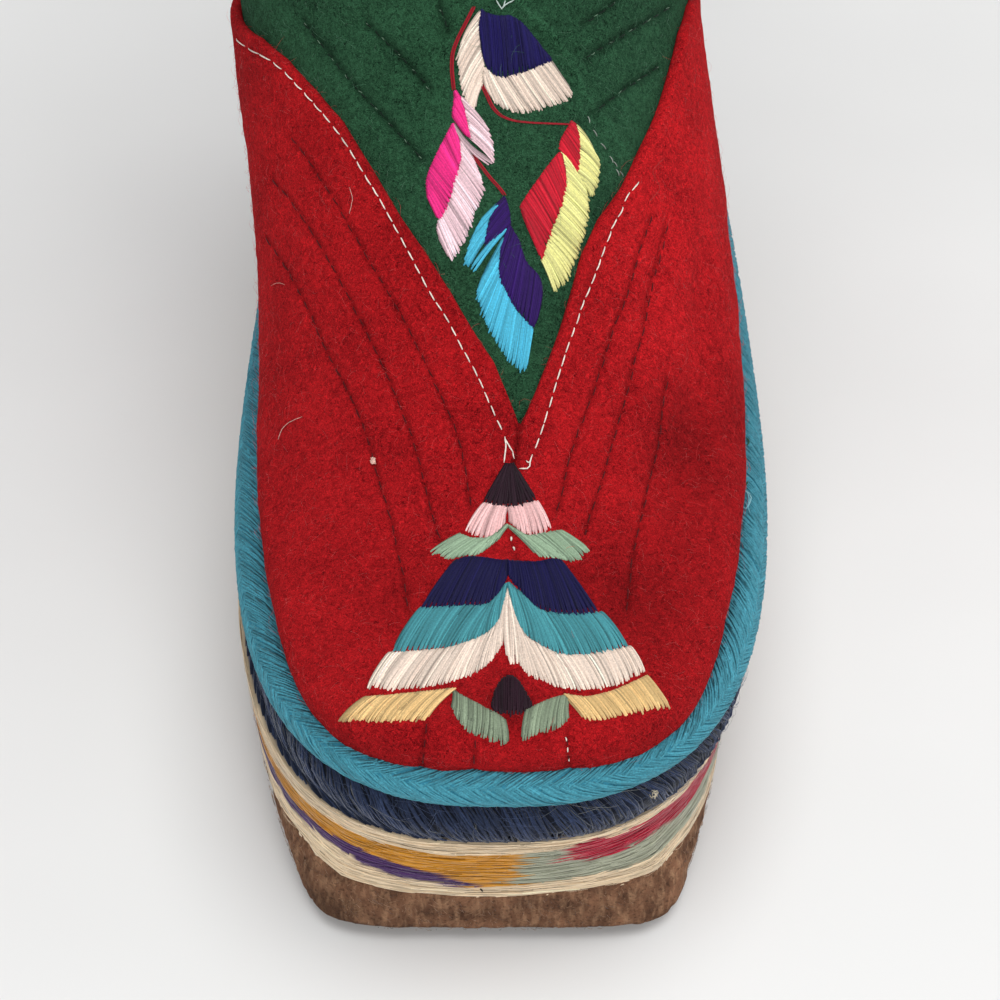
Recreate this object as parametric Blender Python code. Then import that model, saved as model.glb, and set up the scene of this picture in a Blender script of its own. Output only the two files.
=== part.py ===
"""Felt boot: a soft two-colour felt upper on a thick hide sole wound with yarn.

The toe points along -Y, +X is the outer side and +Z is up. The boot stands on z = 0, with the
origin under the middle of its box. Sizes and tables are in millimetres, meshes in metres.
"""

import functools
import math
from collections import namedtuple

import bmesh
import bpy
import numpy as np

MM = 0.001

# Driving sizes of the upper
FELT_LENGTH = 239.5        # outside of the upper wall, toe to heel
BALL_HALF_WIDTH = 44.0     # outside of the upper wall, at the ball
INSTEP_HEIGHT = 100.0      # top of the sole to the bend of the ankle
UPPER_WALL = 3.0
VAMP_WALL = 2.2
HEM_STEP = 1.2             # the collar's folded hem stands this proud
HEM_HEIGHT = 16.0

# Driving sizes of the sole
HIDE_HEIGHT = 12.0
SOLE_TOP = 26.8            # floor to the rim that the felt stands on
YARN_ROWS = 7
YARN_RELIEF = 0.9          # how far a row of yarn stands out of the groove beside it
TOE_SPRING = 3.0
SPRING_LENGTH = 45.0       # the sole lifts over this length behind its toe
ARCH_LIFT = 1.5
ARCH_FRONT, ARCH_REAR = 108.0, 178.0
INSOLE_THICKNESS = 2.8

# Driving sizes of the two edgings
BRAID_HEIGHT = 11.0
BRAID_THICKNESS = 7.4
CORD_DIAMETER = 8.6
CORD_CENTRE = 42.8         # height above the floor, behind the toe spring
CORD_CLEAR = 0.9           # room for the felt that swells out above the cord

GAP = 0.3                  # between pieces that touch
FELT_TOE = 6.4             # the felt's toe lies this far behind the zero of length
WAIST_AT, WAIST_SPREAD = 0.62, 0.17

# Mesh density
AROUND = 56                # points round a ring, front centre first
BULGE_LEVELS = (0.0, 1.0, 1.6, 2.2, 3.0, 4.0)
VAMP_BANDS = 9             # those of BULGE_LEVELS first, then even ones to the V edge
SHAFT_BANDS = 9
TUBE_SIDES = 10
CROWDING = 0.5             # how much closer the points lie round the toe and the heel
DENSE = np.linspace(0.0, math.pi, 361)
ROUND_STEP, RISE_STEP = 0.004, 0.02

# Sections of the upper, from its lower edge to the collar. Each is an oval in a plane that runs
# from a point on the front of the boot to a point on its back. toe_back and heel_back are shares
# of FELT_LENGTH, toe_up and heel_up shares of INSTEP_HEIGHT above the sole, half_width a share of
# BALL_HALF_WIDTH, widest the place of the greatest width from front to back, and lean is in mm.
Section = namedtuple(
    "Section",
    "toe_back toe_up heel_back heel_up half_width widest toe_power heel_power waist lean",
)
UPPER_SECTIONS = (
    Section(0.001, 0.000, 0.999, 0.000, 0.955, 0.45, 2.95, 2.9, 0.02, 0.0),
    Section(0.000, 0.165, 1.000, 0.165, 0.960, 0.45, 2.95, 2.9, 0.02, 0.0),
    Section(-0.014, 0.235, 1.007, 0.240, 1.035, 0.44, 3.20, 2.8, 0.02, 0.0),
    Section(0.010, 0.268, 1.010, 0.280, 1.055, 0.43, 3.10, 2.7, 0.02, 0.0),
    Section(0.076, 0.310, 1.010, 0.325, 1.060, 0.43, 2.75, 2.6, 0.02, 0.0),
    Section(0.144, 0.360, 1.009, 0.370, 1.065, 0.43, 2.45, 2.5, 0.01, -0.6),
    Section(0.204, 0.420, 1.007, 0.420, 1.065, 0.43, 2.30, 2.4, 0.00, -1.5),
    Section(0.286, 0.550, 1.000, 0.480, 1.060, 0.43, 2.20, 2.4, 0.00, -3.4),
    Section(0.378, 0.735, 0.992, 0.580, 1.055, 0.43, 2.20, 2.3, 0.00, -6.0),
    Section(0.445, 0.920, 0.988, 0.700, 1.060, 0.45, 2.20, 2.3, 0.00, -8.0),
    Section(0.483, 1.110, 0.988, 0.880, 1.060, 0.48, 2.20, 2.2, 0.00, -9.0),
    Section(0.506, 1.400, 0.990, 1.250, 1.070, 0.50, 2.20, 2.2, 0.00, -8.0),
    Section(0.518, 1.900, 1.000, 1.830, 1.100, 0.50, 2.20, 2.2, 0.00, -5.5),
    Section(0.525, 2.600, 1.010, 2.600, 1.130, 0.50, 2.20, 2.2, 0.00, -3.0),
)
COLLAR = len(UPPER_SECTIONS) - 1

# Sections of the sole, from the floor up: heights above the floor and distances in mm
SoleSection = namedtuple(
    "SoleSection", "height toe heel half_width widest toe_power heel_power waist lean"
)
SOLE_SECTIONS = (
    SoleSection(0.0, -1.2, 250.0, 40.2, 0.38, 5.5, 3.0, 0.06, -1.6),
    SoleSection(1.6, -1.9, 251.5, 41.5, 0.38, 5.3, 3.0, 0.06, -1.6),
    SoleSection(12.0, -1.8, 254.0, 46.5, 0.39, 3.9, 2.9, 0.05, -2.0),
    SoleSection(19.0, -2.0, 255.5, 50.2, 0.40, 3.0, 2.8, 0.04, -2.2),
    SoleSection(26.8, -2.4, 256.0, 53.0, 0.41, 2.70, 2.8, 0.03, -1.6),
)

# The vamp's upper edge, from its back seam on the inner side, over the point of its V on the
# instep, to the back again. place is a share of the way round, level a row of UPPER_SECTIONS.
EdgePoint = namedtuple("EdgePoint", "place level")
VAMP_EDGE = (
    EdgePoint(-0.500, 8.20),
    EdgePoint(-0.300, 8.45),
    EdgePoint(-0.200, 8.72),
    EdgePoint(-0.130, 8.90),
    EdgePoint(-0.104, 8.86),
    EdgePoint(-0.082, 8.70),
    EdgePoint(-0.064, 8.50),
    EdgePoint(-0.034, 7.86),
    EdgePoint(-0.012, 7.38),
    EdgePoint(0.000, 7.00),
    EdgePoint(0.009, 6.38),
    EdgePoint(0.024, 6.78),
    EdgePoint(0.050, 7.54),
    EdgePoint(0.062, 7.74),
    EdgePoint(0.080, 7.90),
    EdgePoint(0.116, 8.30),
    EdgePoint(0.158, 8.78),
    EdgePoint(0.186, 8.86),
    EdgePoint(0.300, 8.45),
    EdgePoint(0.500, 8.20),
)


def smooth_rows(rows, level):
    """The columns of a table at a level between its rows, on a smooth curve through them."""
    last = len(rows) - 1
    level = min(max(level, 0.0), last)
    below = min(int(level), last - 1)
    part = level - below
    before, start, end, after = (
        np.array(rows[min(max(below + step, 0), last)], float) for step in (-1, 0, 1, 2)
    )
    return 0.5 * (
        2 * start
        + (end - before) * part
        + (2 * before - 5 * start + 4 * end - after) * part**2
        + (3 * start - before - 3 * end + after) * part**3
    )


def toe_lift(back):
    """How far the toe spring raises what lies this far behind the front of the sole."""
    return TOE_SPRING * np.clip(1 - back / SPRING_LENGTH, 0, 1) ** 2


def half_oval(front, rear, half_width, widest, toe_power, heel_power, waist):
    """Points (side, back, up) down one side of an oval from its front to its rear point."""
    share = (1 - np.cos(DENSE)) / 2
    ahead = share < widest
    reach = np.where(ahead, (widest - share) / widest, (share - widest) / (1 - widest))
    power = np.where(ahead, toe_power, heel_power)
    pinch = 1 - waist * np.exp(-(((share - WAIST_AT) / WAIST_SPREAD) ** 2))
    side = half_width * pinch * np.maximum(1 - reach**power, 0) ** (1 / power)
    back = front[0] + (rear[0] - front[0]) * share
    up = front[1] + (rear[1] - front[1]) * share + toe_lift(back)
    return np.stack([side, back, up], axis=1)


def walk(half, fraction):
    """The point a share of the way round a mirrored oval: 0 is its front, + its outer side."""
    steps = np.linalg.norm(np.diff(half, axis=0), axis=1)
    along = np.concatenate([[0.0], np.cumsum(steps)])
    place = abs(fraction) * 2 * along[-1]
    point = np.array([np.interp(place, along, half[:, axis]) for axis in range(3)])
    if fraction < 0:
        point[0] = -point[0]
    return point


@functools.lru_cache(maxsize=None)
def upper_half(level):
    row = Section(*smooth_rows(UPPER_SECTIONS, level))
    front = (FELT_TOE + FELT_LENGTH * row.toe_back, SOLE_TOP + GAP + INSTEP_HEIGHT * row.toe_up)
    rear = (FELT_TOE + FELT_LENGTH * row.heel_back, SOLE_TOP + GAP + INSTEP_HEIGHT * row.heel_up)
    oval = half_oval(
        front, rear, BALL_HALF_WIDTH * row.half_width,
        row.widest, row.toe_power, row.heel_power, row.waist,
    )
    return oval, row.lean


def upper_base(level, fraction):
    half, lean = upper_half(min(max(level, 0.0), COLLAR))
    return walk(half, fraction) + np.array([lean, 0.0, 0.0])


def upper_point(level, fraction, out=0.0):
    """A point of the upper's outer face, moved outward by out."""
    point = upper_base(level, fraction)
    if not out:
        return point
    around = upper_base(level, fraction + ROUND_STEP) - upper_base(level, fraction - ROUND_STEP)
    rise = upper_base(level + RISE_STEP, fraction) - upper_base(level - RISE_STEP, fraction)
    normal = np.cross(around, rise)
    return point + normal * (out / np.linalg.norm(normal))


def fractions():
    """The places round a ring, from the front down the outer side and back along the inner."""
    turn = 2 * math.pi
    places = []
    for i in range(AROUND):
        even = i / AROUND if i <= AROUND // 2 else i / AROUND - 1
        places.append(even - CROWDING * math.sin(2 * turn * even) / (2 * turn))
    return places


def vamp_edge(fraction):
    """The level of the vamp's upper edge."""
    places = [point.place for point in VAMP_EDGE]
    return float(np.interp(fraction, places, [point.level for point in VAMP_EDGE]))


def vamp_level(fraction, band):
    top = len(BULGE_LEVELS) - 1
    if band <= top:
        return BULGE_LEVELS[band]
    share = (band - top) / (VAMP_BANDS - top)
    return BULGE_LEVELS[top] + (vamp_edge(fraction) - BULGE_LEVELS[top]) * share


def shaft_level(fraction, band):
    edge = vamp_edge(fraction)
    return edge + (COLLAR - edge) * band / SHAFT_BANDS


def felt_ring(level_of, band, out):
    return np.array([upper_point(level_of(f, band), f, out) for f in fractions()])


def foot_rings(out):
    """The felt's rings from its lower edge, which is cut level on the sole, to the vamp's edge."""
    loops = [felt_ring(vamp_level, band, out) for band in range(VAMP_BANDS + 1)]
    loops[0][:, 2] = SOLE_TOP + GAP + toe_lift(loops[0][:, 1])
    return loops


def upper_loops():
    """The upper's wall as rings: up the outside, over the hem and down the inside."""
    outer = foot_rings(0.0)
    outer += [felt_ring(shaft_level, band, 0.0) for band in range(1, SHAFT_BANDS)]
    collar = felt_ring(shaft_level, SHAFT_BANDS, 0.0)
    hem_top = felt_ring(shaft_level, SHAFT_BANDS, HEM_STEP)
    drop = np.array([0.0, 0.0, HEM_HEIGHT])
    hem = [collar - drop, hem_top - drop, hem_top]
    inner = foot_rings(-UPPER_WALL)
    inner += [felt_ring(shaft_level, band, -UPPER_WALL) for band in range(1, SHAFT_BANDS + 1)]
    return outer + hem + inner[::-1]


def vamp_loops():
    """The red overlay as rings: up its outside, over its cut edge and down its inside."""
    outside = foot_rings(GAP + VAMP_WALL)
    inside = foot_rings(GAP)
    return outside + inside[::-1]


def edging_loops(level, middle_out, half_out, half_up, height):
    """A ring of braid against the vamp: its section is an oval half_out by half_up."""
    loops = []
    for side in range(TUBE_SIDES):
        angle = 2 * math.pi * side / TUBE_SIDES
        out = GAP + VAMP_WALL + GAP + middle_out + half_out * math.cos(angle)
        loop = felt_ring(lambda f, band: level, 0, out)
        loop[:, 2] = height + half_up * math.sin(angle) + toe_lift(loop[:, 1])
        loops.append(loop)
    return loops


def sole_loop(height, out=0.0, inset=0.0):
    """The sole's outline at a height, moved out by out or in by inset."""
    heights = [row.height for row in SOLE_SECTIONS]
    level = float(np.interp(height, heights, range(len(heights))))
    row = SoleSection(*smooth_rows(SOLE_SECTIONS, level))
    grow = out - inset
    half = half_oval(
        (row.toe - grow, height), (row.heel + grow, height), row.half_width + grow,
        row.widest, row.toe_power, row.heel_power, row.waist,
    )
    return np.array([walk(half, f) for f in fractions()]) + np.array([row.lean, 0.0, 0.0])


def arched(loop):
    """The sole's underside, raised off the floor under the arch of the foot."""
    share = np.clip((loop[:, 1] - ARCH_FRONT) / (ARCH_REAR - ARCH_FRONT), 0, 1)
    raised = loop.copy()
    raised[:, 2] += ARCH_LIFT * np.sin(math.pi * share) ** 2
    return raised


def outsole_loops():
    heights = (0.0, 0.7, 1.6, 6.0, HIDE_HEIGHT)
    return [arched(sole_loop(heights[0]))] + [sole_loop(height) for height in heights[1:]]


def midsole_loops():
    """The sole core with a rib for each row of yarn wound round it."""
    bottom = HIDE_HEIGHT + GAP
    row_height = (SOLE_TOP - bottom) / YARN_ROWS
    loops = [sole_loop(bottom, inset=YARN_RELIEF / 2)]
    for row in range(YARN_ROWS):
        low = bottom + row * row_height
        loops.append(sole_loop(low + row_height / 2, out=YARN_RELIEF / 2))
        loops.append(sole_loop(low + row_height, inset=YARN_RELIEF / 2))
    return loops


def insole_loops():
    """A felt footbed inside the upper, lying on the midsole."""
    loops = []
    for height in (SOLE_TOP + GAP, SOLE_TOP + GAP + INSOLE_THICKNESS):
        loop = felt_ring(lambda f, band: 0.0, 0, -UPPER_WALL - GAP - 0.2)
        loop[:, 2] = height + toe_lift(loop[:, 1])
        loops.append(loop)
    return loops


def wall_faces(first, second, falling):
    """Triangles between two rings of points that start at these indices.

    Where the rings go down, the other diagonal keeps the two faces of a wall parallel.
    """
    faces = []
    for i in range(AROUND):
        j = (i + 1) % AROUND
        if falling:
            faces.append((first + i, first + j, second + i))
            faces.append((first + j, second + j, second + i))
        else:
            faces.append((first + i, first + j, second + j))
            faces.append((first + i, second + j, second + i))
    return faces


def cap_faces(start):
    """Triangles that close a ring with a ladder of rungs across the boot."""
    half = AROUND // 2
    faces = []
    for i in range(half):
        near, far = start + i, start + i + 1
        near_mirror, far_mirror = start + (AROUND - i) % AROUND, start + AROUND - i - 1
        if near != near_mirror:
            faces.append((near, far, near_mirror))
        if far != far_mirror:
            faces.append((far, far_mirror, near_mirror))
    return faces


def add_piece(name, loops, material, centre, closed_section):
    """One named solid from its rings: a closed section goes round, an open one gets two caps."""
    points = (np.concatenate(loops) - centre) * MM
    faces = []
    for i in range(len(loops) - 1):
        falling = loops[i + 1][:, 2].mean() < loops[i][:, 2].mean()
        faces += wall_faces(i * AROUND, (i + 1) * AROUND, falling)
    last = (len(loops) - 1) * AROUND
    if closed_section:
        faces += wall_faces(last, 0, False)
    else:
        faces += cap_faces(0) + cap_faces(last)
    mesh = bpy.data.meshes.new(name)
    mesh.from_pydata(points.tolist(), [], faces)
    shell = bmesh.new()
    shell.from_mesh(mesh)
    bmesh.ops.recalc_face_normals(shell, faces=shell.faces)
    shell.to_mesh(mesh)
    shell.free()
    mesh.shade_smooth()
    mesh.set_sharp_from_angle(angle=math.radians(50))
    mesh.materials.append(material)
    piece = bpy.data.objects.new(name, mesh)
    bpy.context.scene.collection.objects.link(piece)
    return piece


def finish(name, colour, roughness):
    """A Principled material of one colour."""
    material = bpy.data.materials.new(name)
    material.use_nodes = True
    shader = material.node_tree.nodes["Principled BSDF"]
    shader.inputs["Base Color"].default_value = (*colour, 1.0)
    shader.inputs["Roughness"].default_value = roughness
    shader.inputs["Metallic"].default_value = 0.0
    return material


def all_rings():
    """Every piece's rings, by name."""
    cord_radius = CORD_DIAMETER / 2
    braid_out, braid_up = BRAID_THICKNESS / 2, BRAID_HEIGHT / 2
    return {
        "outsole": outsole_loops(),
        "midsole": midsole_loops(),
        "insole": insole_loops(),
        "upper": upper_loops(),
        "vamp": vamp_loops(),
        "welt_braid": edging_loops(0.5, braid_out, braid_out, braid_up, SOLE_TOP + GAP + braid_up),
        "edging_cord": edging_loops(
            1.0, cord_radius + CORD_CLEAR, cord_radius, cord_radius, CORD_CENTRE
        ),
    }


def box_centre(rings):
    """The point of the floor under the middle of the boot's box."""
    everything = np.concatenate([loop for loops in rings.values() for loop in loops])
    low, high = everything.min(axis=0), everything.max(axis=0)
    return np.array([(low[0] + high[0]) / 2, (low[1] + high[1]) / 2, low[2]])


def main():
    for old in list(bpy.data.objects):
        bpy.data.objects.remove(old, do_unlink=True)
    finishes = {
        "outsole": finish("brown hide", (0.16, 0.09, 0.05), 0.9),
        "midsole": finish("cream wool yarn", (0.72, 0.63, 0.48), 0.95),
        "insole": finish("undyed felt", (0.62, 0.55, 0.43), 0.95),
        "upper": finish("green felt", (0.02, 0.12, 0.05), 0.95),
        "vamp": finish("red felt", (0.50, 0.01, 0.015), 0.95),
        "welt_braid": finish("navy wool", (0.025, 0.04, 0.09), 0.95),
        "edging_cord": finish("turquoise cotton", (0.05, 0.33, 0.48), 0.8),
    }
    capped = {"outsole", "midsole", "insole"}
    rings = all_rings()
    centre = box_centre(rings)
    for name, loops in rings.items():
        add_piece(name, loops, finishes[name], centre, closed_section=name not in capped)


main()
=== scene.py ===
"""Looks of the felt boot: quilted felt, embroidery, braided cord, wool edging, yarn and hide.

Sizes are in millimetres, in the axes of the boot's tables: x to the outer side, then back from the
toe, then up. Meshes are in metres. Places on the photo are pixels of a picture 1000 wide and high.
"""

import math
from collections import namedtuple

import bpy
import numpy as np
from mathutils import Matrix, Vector, noise
from mathutils.bvhtree import BVHTree
from mathutils.kdtree import KDTree


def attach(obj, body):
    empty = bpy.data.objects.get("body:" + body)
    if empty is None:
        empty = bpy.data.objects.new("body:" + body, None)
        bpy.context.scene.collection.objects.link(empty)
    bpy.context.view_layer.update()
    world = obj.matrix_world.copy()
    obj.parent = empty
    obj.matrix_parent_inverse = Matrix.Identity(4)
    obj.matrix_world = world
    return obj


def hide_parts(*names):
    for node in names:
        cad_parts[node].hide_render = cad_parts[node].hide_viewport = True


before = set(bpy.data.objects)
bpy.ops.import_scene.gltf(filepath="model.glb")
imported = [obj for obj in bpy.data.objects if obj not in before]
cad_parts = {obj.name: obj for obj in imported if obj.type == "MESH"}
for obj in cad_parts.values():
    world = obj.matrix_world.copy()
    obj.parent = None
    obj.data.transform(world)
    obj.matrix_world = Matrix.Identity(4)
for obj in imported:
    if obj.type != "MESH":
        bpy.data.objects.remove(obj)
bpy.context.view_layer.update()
CHANCE = np.random.default_rng(7)

MM = 0.001
# The point of the floor under the middle of the solid boot's box: the frame's zero in the tables' axes
BOX_CENTRE = np.array([-1.10788, 126.20101, 0.0])

# Sizes shared with the solid boot
FELT_LENGTH = 239.5
BALL_HALF_WIDTH = 44.0
INSTEP_HEIGHT = 100.0
UPPER_WALL = 3.0
VAMP_WALL = 2.2
HEM_STEP, HEM_HEIGHT = 1.2, 16.0
HIDE_HEIGHT = 12.0
SOLE_TOP = 26.8
YARN_ROWS = 7
TOE_SPRING, SPRING_LENGTH = 3.0, 45.0
ARCH_LIFT, ARCH_FRONT, ARCH_REAR = 1.5, 108.0, 178.0
INSOLE_THICKNESS = 2.8
BRAID_HEIGHT, BRAID_THICKNESS = 11.0, 7.4
CORD_RADIUS, CORD_CENTRE, CORD_CLEAR = 4.3, 42.8, 0.9
GAP = 0.3
FELT_TOE = 6.4
WAIST_AT, WAIST_SPREAD = 0.62, 0.17

# The felt from its lower edge to the collar: toe_back, toe_up, heel_back, heel_up, half_width,
# widest, toe_power, heel_power, waist, lean
UPPER_SECTIONS = np.array((
    (0.001, 0.000, 0.999, 0.000, 0.955, 0.45, 2.95, 2.9, 0.02, 0.0),
    (0.000, 0.165, 1.000, 0.165, 0.960, 0.45, 2.95, 2.9, 0.02, 0.0),
    (-0.014, 0.235, 1.007, 0.240, 1.035, 0.44, 3.20, 2.8, 0.02, 0.0),
    (0.010, 0.268, 1.010, 0.280, 1.055, 0.43, 3.10, 2.7, 0.02, 0.0),
    (0.076, 0.310, 1.010, 0.325, 1.060, 0.43, 2.75, 2.6, 0.02, 0.0),
    (0.144, 0.360, 1.009, 0.370, 1.065, 0.43, 2.45, 2.5, 0.01, -0.6),
    (0.204, 0.420, 1.007, 0.420, 1.065, 0.43, 2.30, 2.4, 0.00, -1.5),
    (0.286, 0.550, 1.000, 0.480, 1.060, 0.43, 2.20, 2.4, 0.00, -3.4),
    (0.378, 0.735, 0.992, 0.580, 1.055, 0.43, 2.20, 2.3, 0.00, -6.0),
    (0.445, 0.920, 0.988, 0.700, 1.060, 0.45, 2.20, 2.3, 0.00, -8.0),
    (0.483, 1.110, 0.988, 0.880, 1.060, 0.48, 2.20, 2.2, 0.00, -9.0),
    (0.506, 1.400, 0.990, 1.250, 1.070, 0.50, 2.20, 2.2, 0.00, -8.0),
    (0.518, 1.900, 1.000, 1.830, 1.100, 0.50, 2.20, 2.2, 0.00, -5.5),
    (0.525, 2.600, 1.010, 2.600, 1.130, 0.50, 2.20, 2.2, 0.00, -3.0),
))
COLLAR = len(UPPER_SECTIONS) - 1

# The sole from the floor up: height, toe, heel, half_width, widest, toe_power, heel_power, waist, lean
SOLE_SECTIONS = np.array((
    (0.0, -1.2, 250.0, 40.2, 0.38, 5.5, 3.0, 0.06, -1.6),
    (1.6, -1.9, 251.5, 41.5, 0.38, 5.3, 3.0, 0.06, -1.6),
    (12.0, -1.8, 254.0, 46.5, 0.39, 3.9, 2.9, 0.05, -2.0),
    (19.0, -2.0, 255.5, 50.2, 0.40, 3.0, 2.8, 0.04, -2.2),
    (26.8, -2.4, 256.0, 53.0, 0.41, 2.70, 2.8, 0.03, -1.6),
))

# The red felt's upper edge: share of the way round from the front, and level in UPPER_SECTIONS
VAMP_EDGE = np.array((
    (-0.500, 8.20), (-0.300, 8.45), (-0.200, 8.72), (-0.160, 8.82), (-0.130, 8.90), (-0.104, 8.86),
    (-0.082, 8.70), (-0.064, 8.50), (-0.048, 8.18), (-0.034, 7.86), (-0.022, 7.62), (-0.012, 7.38),
    (-0.004, 7.14), (0.004, 6.90), (0.008, 6.66), (0.012, 6.38), (0.018, 6.58), (0.024, 6.78),
    (0.032, 7.02), (0.040, 7.26), (0.050, 7.54), (0.062, 7.74), (0.080, 7.90), (0.096, 8.10),
    (0.116, 8.30), (0.136, 8.54), (0.158, 8.78), (0.186, 8.86), (0.300, 8.45), (0.500, 8.20),
))

# The camera that took the photo
ELEVATION = math.radians(43.0)
TARGET = np.array([-0.2, 46.0, 70.2])
DISTANCE = 450.0
FOCAL = 2440.0             # in pixels of the picture
MIDDLE = 500.0             # the middle row and column of the picture
VIEW = np.array([0.0, math.cos(ELEVATION), -math.sin(ELEVATION)])
RIGHT = np.array([1.0, 0.0, 0.0])
UP = np.array([0.0, math.sin(ELEVATION), math.cos(ELEVATION)])
EYE = TARGET - VIEW * DISTANCE


# The boot's surfaces

def ramp(value, start, end):
    """0 up to start, 1 from end on, and even between them."""
    return np.clip((value - start) / (end - start), 0, 1)


def bell(away, reach):
    """1 at no distance, dying away over this reach."""
    return np.exp(-((away / reach) ** 2))


def smooth_rows(rows, level):
    """The columns of a table at a level between its rows, on a smooth curve through them."""
    last = len(rows) - 1
    level = min(max(level, 0.0), last)
    below = min(int(level), last - 1)
    part = level - below
    before, start, end, after = (rows[min(max(below + step, 0), last)] for step in (-1, 0, 1, 2))
    return 0.5 * (
        2 * start
        + (end - before) * part
        + (2 * before - 5 * start + 4 * end - after) * part**2
        + (3 * start - before - 3 * end + after) * part**3
    )


def toe_lift(back):
    return TOE_SPRING * np.clip(1 - back / SPRING_LENGTH, 0, 1) ** 2


OVAL_STEPS = 361


def oval(front, rear, half_width, widest, toe_power, heel_power, waist, places):
    """Points at shares of the way round an oval from its front: + is the outer side."""
    share = (1 - np.cos(np.linspace(0, math.pi, OVAL_STEPS))) / 2
    ahead = share < widest
    reach = np.where(ahead, (widest - share) / widest, (share - widest) / (1 - widest))
    power = np.where(ahead, toe_power, heel_power)
    pinch = 1 - waist * bell(share - WAIST_AT, WAIST_SPREAD)
    side = half_width * pinch * np.maximum(1 - reach**power, 0) ** (1 / power)
    back = front[0] + (rear[0] - front[0]) * share
    up = front[1] + (rear[1] - front[1]) * share + toe_lift(back)
    half = np.stack([side, back, up], axis=1)
    steps = np.linalg.norm(np.diff(half, axis=0), axis=1)
    along = np.concatenate([[0.0], np.cumsum(steps)])
    walked = np.abs(places) * 2 * along[-1]
    points = np.stack([np.interp(walked, along, half[:, axis]) for axis in range(3)], axis=1)
    points[places < 0, 0] *= -1
    return points


def unit(vectors):
    return vectors / np.maximum(np.linalg.norm(vectors, axis=-1, keepdims=True), 1e-9)


GRID_LEVELS, GRID_PLACES, NORMAL_REACH = 261, 1201, 5


def grid_normals(points):
    """Outward normals of rings one above another, each from the back round to the back again."""
    ring = points[:, :-1]
    around = np.roll(ring, -NORMAL_REACH, axis=1) - np.roll(ring, NORMAL_REACH, axis=1)
    around = np.concatenate([around, around[:, :1]], axis=1)
    return unit(np.cross(around, np.gradient(points, axis=0)))


def felt_grid():
    """The felt's outer face and its normals, at even levels and places."""
    rows = []
    places = np.linspace(-0.5, 0.5, GRID_PLACES)
    for level in np.linspace(0, COLLAR, GRID_LEVELS):
        toe, toe_up, heel, heel_up, width, widest, ahead, behind, waist, lean = smooth_rows(
            UPPER_SECTIONS, level
        )
        front = (FELT_TOE + FELT_LENGTH * toe, SOLE_TOP + GAP + INSTEP_HEIGHT * toe_up)
        rear = (FELT_TOE + FELT_LENGTH * heel, SOLE_TOP + GAP + INSTEP_HEIGHT * heel_up)
        ring = oval(front, rear, BALL_HALF_WIDTH * width, widest, ahead, behind, waist, places)
        rows.append(ring + np.array([lean, 0.0, 0.0]))
    points = np.array(rows)
    return points, grid_normals(points)


FELT_POINTS, FELT_NORMALS = felt_grid()


def on_grid(points, normals, row, place, out):
    """Points between the rows and places of a grid, moved outward, with their normals."""
    row, place, out = np.broadcast_arrays(row, place, out)
    row = np.clip(row, 0, len(points) - 1.001)
    column = ((place + 0.5) % 1.0) * (GRID_PLACES - 1)
    i, j = row.astype(int), np.minimum(column.astype(int), GRID_PLACES - 2)
    u, v = (row - i)[..., None], (column - j)[..., None]

    def between(table):
        near = table[i, j] * (1 - v) + table[i, j + 1] * v
        far = table[i + 1, j] * (1 - v) + table[i + 1, j + 1] * v
        return near * (1 - u) + far * u

    normal = unit(between(normals))
    return between(points) + normal * out[..., None], normal


def felt(level, place, out=0.0):
    """Points of the felt's outer face moved outward, with their normals."""
    row = np.asarray(level) * (GRID_LEVELS - 1) / COLLAR
    return on_grid(FELT_POINTS, FELT_NORMALS, row, place, out)


def edging(level, place, out, height):
    """Points beside the vamp, out from its face at a level, at a height behind the toe spring."""
    points, normals = felt(level, place, GAP + VAMP_WALL + GAP + out)
    points[..., 2] = height + toe_lift(points[..., 1])
    normals = normals * np.array([1.0, 1.0, 0.0])
    return points, unit(normals)


def sole_ring(height, places, out=0.0):
    level = np.interp(height, SOLE_SECTIONS[:, 0], np.arange(len(SOLE_SECTIONS)))
    _, toe, heel, width, widest, ahead, behind, waist, lean = smooth_rows(SOLE_SECTIONS, level)
    ring = oval(
        (toe - out, height), (heel + out, height), width + out, widest, ahead, behind, waist, places
    )
    return ring + np.array([lean, 0.0, 0.0])


SIDE_ROWS = 61
SIDE_POINTS = np.array([
    sole_ring(height, np.linspace(-0.5, 0.5, GRID_PLACES)) for height in np.linspace(0, SOLE_TOP, SIDE_ROWS)
])
SIDE_NORMALS = grid_normals(SIDE_POINTS)


def sole_side(height, place, out=0.0):
    """Points of the sole's side moved outward, with their normals."""
    row = np.asarray(height) * (SIDE_ROWS - 1) / SOLE_TOP
    return on_grid(SIDE_POINTS, SIDE_NORMALS, row, place, out)


CROWD_STEPS, CROWD_BLEND = 4001, 0.02


def crowded(count, crowd, reach):
    """Places round a ring, closer together by crowd within reach of the front."""
    fine = np.linspace(-0.5, 0.5, CROWD_STEPS)
    weight = 1 + crowd / (1 + np.exp((np.abs(fine) - reach) / CROWD_BLEND))
    total = np.concatenate([[0.0], np.cumsum((weight[1:] + weight[:-1]) / 2)])
    return np.interp(np.arange(count) / count * total[-1], total, fine)


def chance_places(count, front_share, gather):
    """Chance places round the boot, a share of them gathered towards the front."""
    place = CHANCE.uniform(-0.5, 0.5, (count, 1))
    return np.where(CHANCE.random((count, 1)) < front_share, place * gather, place)


# Meshes

def sheet_quads(rows, columns, closed=True):
    """Quads of a grid of points, row after row. A closed one goes round."""
    across = columns if closed else columns - 1
    row, column = np.meshgrid(np.arange(rows - 1), np.arange(across), indexing="ij")
    beside = (column + 1) % columns
    corners = (
        row * columns + column, row * columns + beside,
        (row + 1) * columns + beside, (row + 1) * columns + column,
    )
    return np.stack(corners, axis=-1).reshape(-1, 4)


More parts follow.
